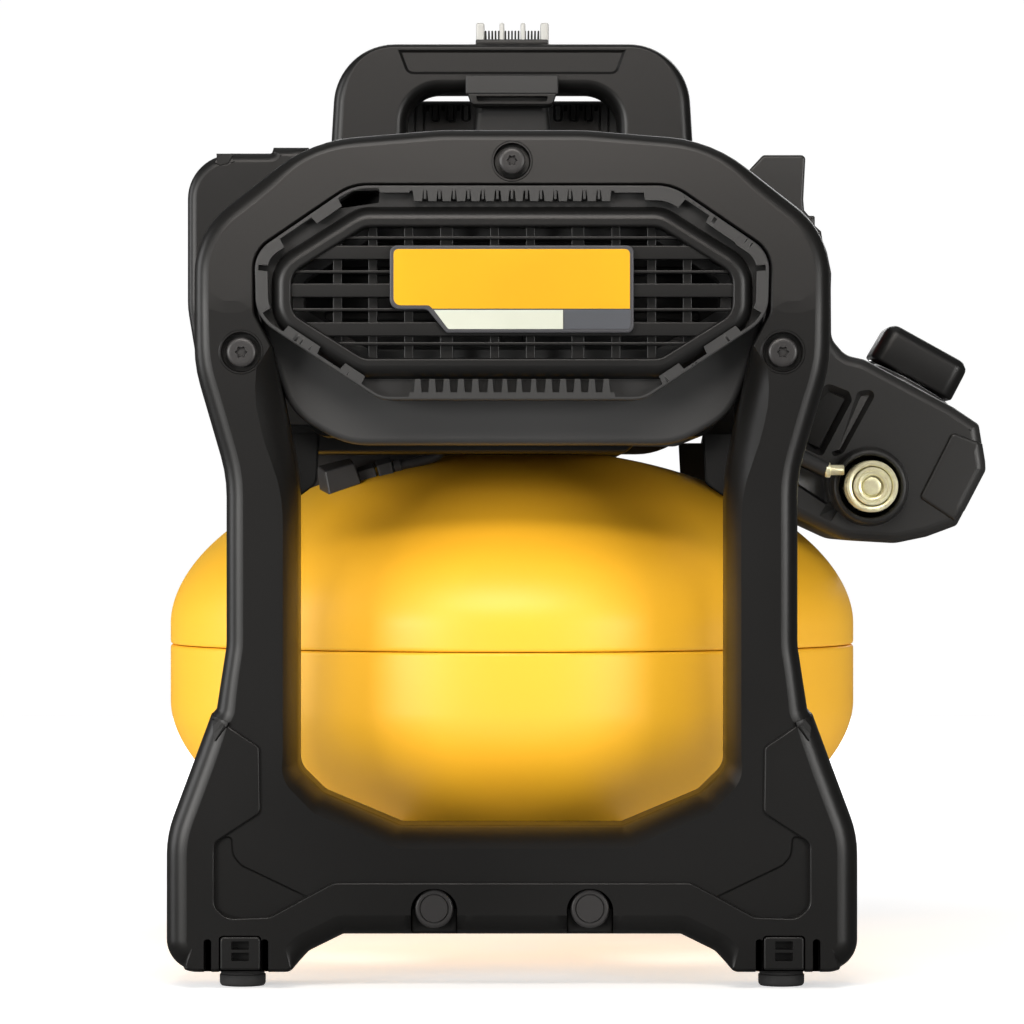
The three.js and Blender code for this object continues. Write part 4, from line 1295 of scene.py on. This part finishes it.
def make_check_valve():
    """Elbow, stem and two nuts where the pump's line enters the tank."""
    front = [(-83.3, 216.9), (-70.2, 220.8), (-67.0, 211.6), (-81.3, 206.2)]
    behind = [(-87.5, 219.6), (-72.4, 223.4), (-69.4, 213.0), (-86.2, 208.6)]
    corners = [(x, -64, z) for x, z in front] + [(x, -49, z) for x, z in behind]
    sides = [[0, 3, 2, 1], [4, 5, 6, 7], [0, 1, 5, 4], [1, 2, 6, 5], [2, 3, 7, 6], [3, 0, 4, 7]]
    block = make_object("tank_check_valve_elbow", corners, sides, SCREW)
    bevel(block, 0.9, 3)
    stem = revolve("tank_check_valve_stem", [
        (0, -14), (8.2, -14), (8.2, -9), (7.6, -8.4), (7.0, -8.2), (7.0, 2), (0, 2)],
        SCREW, 48, axis=(-0.28, 0, 0.96), at=(-75.4, -57, 211.6))
    tilt = Vector((math.cos(0.26), 0, math.sin(0.26)))
    nuts = []
    for name, near, length, radius, sides in (("inner", 0, 8, 4.6, 6), ("outer", 9, 7, 5.4, 6),
                                              ("ferrule", 16, 4, 3.6, 32)):
        at = Vector((-68.5, -54, 214.6)) + tilt * near
        nut = revolve(f"tank_check_valve_{name}", [
            (0, 0), (radius - 0.6, 0), (radius, 0.6), (radius, length - 0.6), (radius - 0.6, length),
            (0, length)], SCREW, sides, axis=tilt, at=at)
        bevel(nut, 0.3, 2)
        nuts.append(nut)
    for piece in (block, stem, *nuts):
        attach(piece, "black_steel")
    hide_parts("tank_check_valve")
    line = tube_piece("transfer_line", [
        (-50, -54, 219.4), (-45, -54, 220.7), (-38, -54, 222.4), (LINE_X - 1, LINE_Y, 224.5),
        (LINE_X, LINE_Y, 232), (LINE_X, LINE_Y, 246)], 2.4, SCREW)
    attach(line, None, "transfer_tube")


def make_air_line():
    feed = tube_piece("coupler_feed_hose", [
        (107, -82, 238), (113, -82, 233), (120, -82, 227.5), (129, -82, 222.5), (135, -82, 219.4),
        (139.5, -82, 217.6)], 3.2, RUBBER)
    attach(feed, None, "coupler_feed_tube")
    stub = revolve("coupler_feed_stub", [
        (0, 138), (2.9, 138), (3.3, 138.6), (3.3, 140.2), (2.3, 140.6), (2.3, 145.9), (2.0, 146.4),
        (0, 146.4)],
        BRASS, 48, axis=(1, 0, 0), at=(0, -82, 217.5))
    attach(stub)


def make_knob():
    half = 20.9
    loop = spread(rectangle(-half, half, -half, half, 6.5, step=0.12), 4)
    lo, hi = 5.6, 23.8
    levels = [(3.2, lo), (0.7, lo + 0.1), (0.2, lo + 0.5), (0, lo + 1.4), (0.3, hi - 5), (0.5, hi - 3.4),
              (1.0, hi - 2.2), (3.0, hi - 0.5), (4.2, hi), (8.5, hi), (9.4, hi - 0.7), (12.6, hi - 0.9)]
    points, faces = [], []
    count = len(loop)
    for inset_mm, z in levels:
        points += [(p[0], p[1], z) for p in offset(loop, inset_mm)]
    for level in range(len(levels) - 1):
        a, b = level * count, (level + 1) * count
        for i in range(count):
            j = (i + 1) % count
            faces.append([a + i, a + j, b + j, b + i])
    faces.append(list(range(count))[::-1])
    faces.append([(len(levels) - 1) * count + i for i in range(count)])
    knob = on_panel(make_object("regulator_knob_grip", points, faces, BLACK, 50))
    attach(knob, "shroud_plastic", "regulator_knob", body="regulator_knob")
    marker = on_panel(rounded_box("regulator_knob_mark", (11.5, -0.8, 22.7), (18.2, 0.8, 24.05), 0.4,
                                  BADGE_WHITE, 2))
    attach(marker, body="regulator_knob")
    washer = on_panel(revolve("regulator_washer", [
        (7, 3.9), (19.2, 3.9), (19.7, 4.2), (19.9, 4.6), (19.7, 5.0), (19.2, 5.2), (7, 5.2)], STEEL, 96))
    attach(washer)
    boss = on_panel(revolve("regulator_boss", [
        (7, -1), (21, -1), (20.6, 0.6), (19.8, 2.4), (19.4, 3.6), (19.0, 4.2), (7, 4.2)], BLACK, 96))
    attach(boss)


def make_gauge(name, y):
    bezel = on_panel(revolve(f"{name}_gauge_bezel", [
        (16.2, -1.4), (16.2, 1.2), (16.6, 1.9), (17.4, 2.2), (18.6, 2.0), (19.2, 1.3), (19.3, 0.3),
        (19.3, -1.4)],
        SCREW, 96, at=(0, y, 0), sharp=50))
    face = on_panel(revolve(f"{name}_gauge_face", [(0, -4.4), (15.9, -4.4), (15.9, -4.15), (0, -4.15)],
                            DIAL, 96, at=(0, y, 0)))
    lens = on_panel(revolve(f"{name}_gauge_lens", [
        (0, 0.9), (8, 0.8), (16.1, 0.2), (16.1, -0.4), (8, 0.1), (0, 0.2)], GLASS, 96, at=(0, y, 0)))
    marks = []
    for k in range(28):
        turn = math.radians(-135 + 10 * k)
        long = k % 3 == 0
        mark = rounded_box("mark", (11.0 if long else 12.4, -0.32 if long else -0.16, -4.2),
                           (14.6, 0.32 if long else 0.16, -4.05), 0.04, DARK, 1)
        rotate = Matrix.Rotation(math.pi + turn, 4, "Z")
        for vertex in mark.data.vertices:
            vertex.co = in_metres(rotate @ in_mm(vertex.co) + Vector((0, y, 0)))
        marks.append(mark)
    scale = on_panel(merge(f"{name}_gauge_scale", marks))
    for piece in (bezel, face, lens, scale):
        attach(piece)


def make_switch():
    lo, hi = box_mm("power_switch")
    rocker = rounded_box("power_switch_rocker", (lo.x, lo.y, lo.z), (hi.x, hi.y, hi.z), 1.6, RED, 4)
    attach(rocker, "red_plastic", "power_switch", body="power_switch")
    loop = rectangle(-11.6, 11.6, 274.6, 305.4, 2)
    hole = rectangle(-9.6, 9.6, 276.8, 303.2, 1)
    surround = plate("power_switch_surround", loop, [hole], 3.2, BLACK, front=(1.0, 1.0), face=0)
    for vertex in surround.data.vertices:
        x, y, z = vertex.co
        vertex.co = ((143.6 * MM + CENTRE_X) - (y + END_Y * MM), x - CENTRE_X, z)
    surround.data.update()
    attach(surround)


# ---------------------------------------------------------------- CAD nodes that stay
SLOT_MATERIALS = {
    "panel_plastic": ARCH_BLACK, "grey_plastic": GREY, "shroud_plastic": BLACK, "tank_paint": YELLOW,
    "badge_face": BADGE_YELLOW, "rubber": RUBBER, "black_steel": SCREW, "steel": STEEL,
    "brass": BRASS, "aluminium": ALUMINIUM, "copper": COPPER, "dial": DIAL, "red_plastic": RED,
    "board": BOARD,
}


def dress_cad_nodes():
    """Gives every CAD node its finish, and a fine bevel on the ones that stay in sight."""
    slots = {s["node"]: s["material_slot"] for s in frame["record"]["subparts"]}
    for name, node in frame["nodes"].items():
        node.data.materials.clear()
        node.data.materials.append(SLOT_MATERIALS[slots[name]])
        bevel(node, 0.5, 2, 40)


make_camera()
make_stage()
dress_cad_nodes()
for end_name, is_far in ENDS:
    make_end_panel(end_name, is_far)
    make_fasteners(end_name, is_far)
    make_vent(end_name, is_far)
make_feet()
make_tank()
make_handle()
make_top_vent()
make_dock()
make_shroud()
make_console()
make_air_line()
make_belly_pan()
make_gussets()
make_cradle()
make_check_valve()
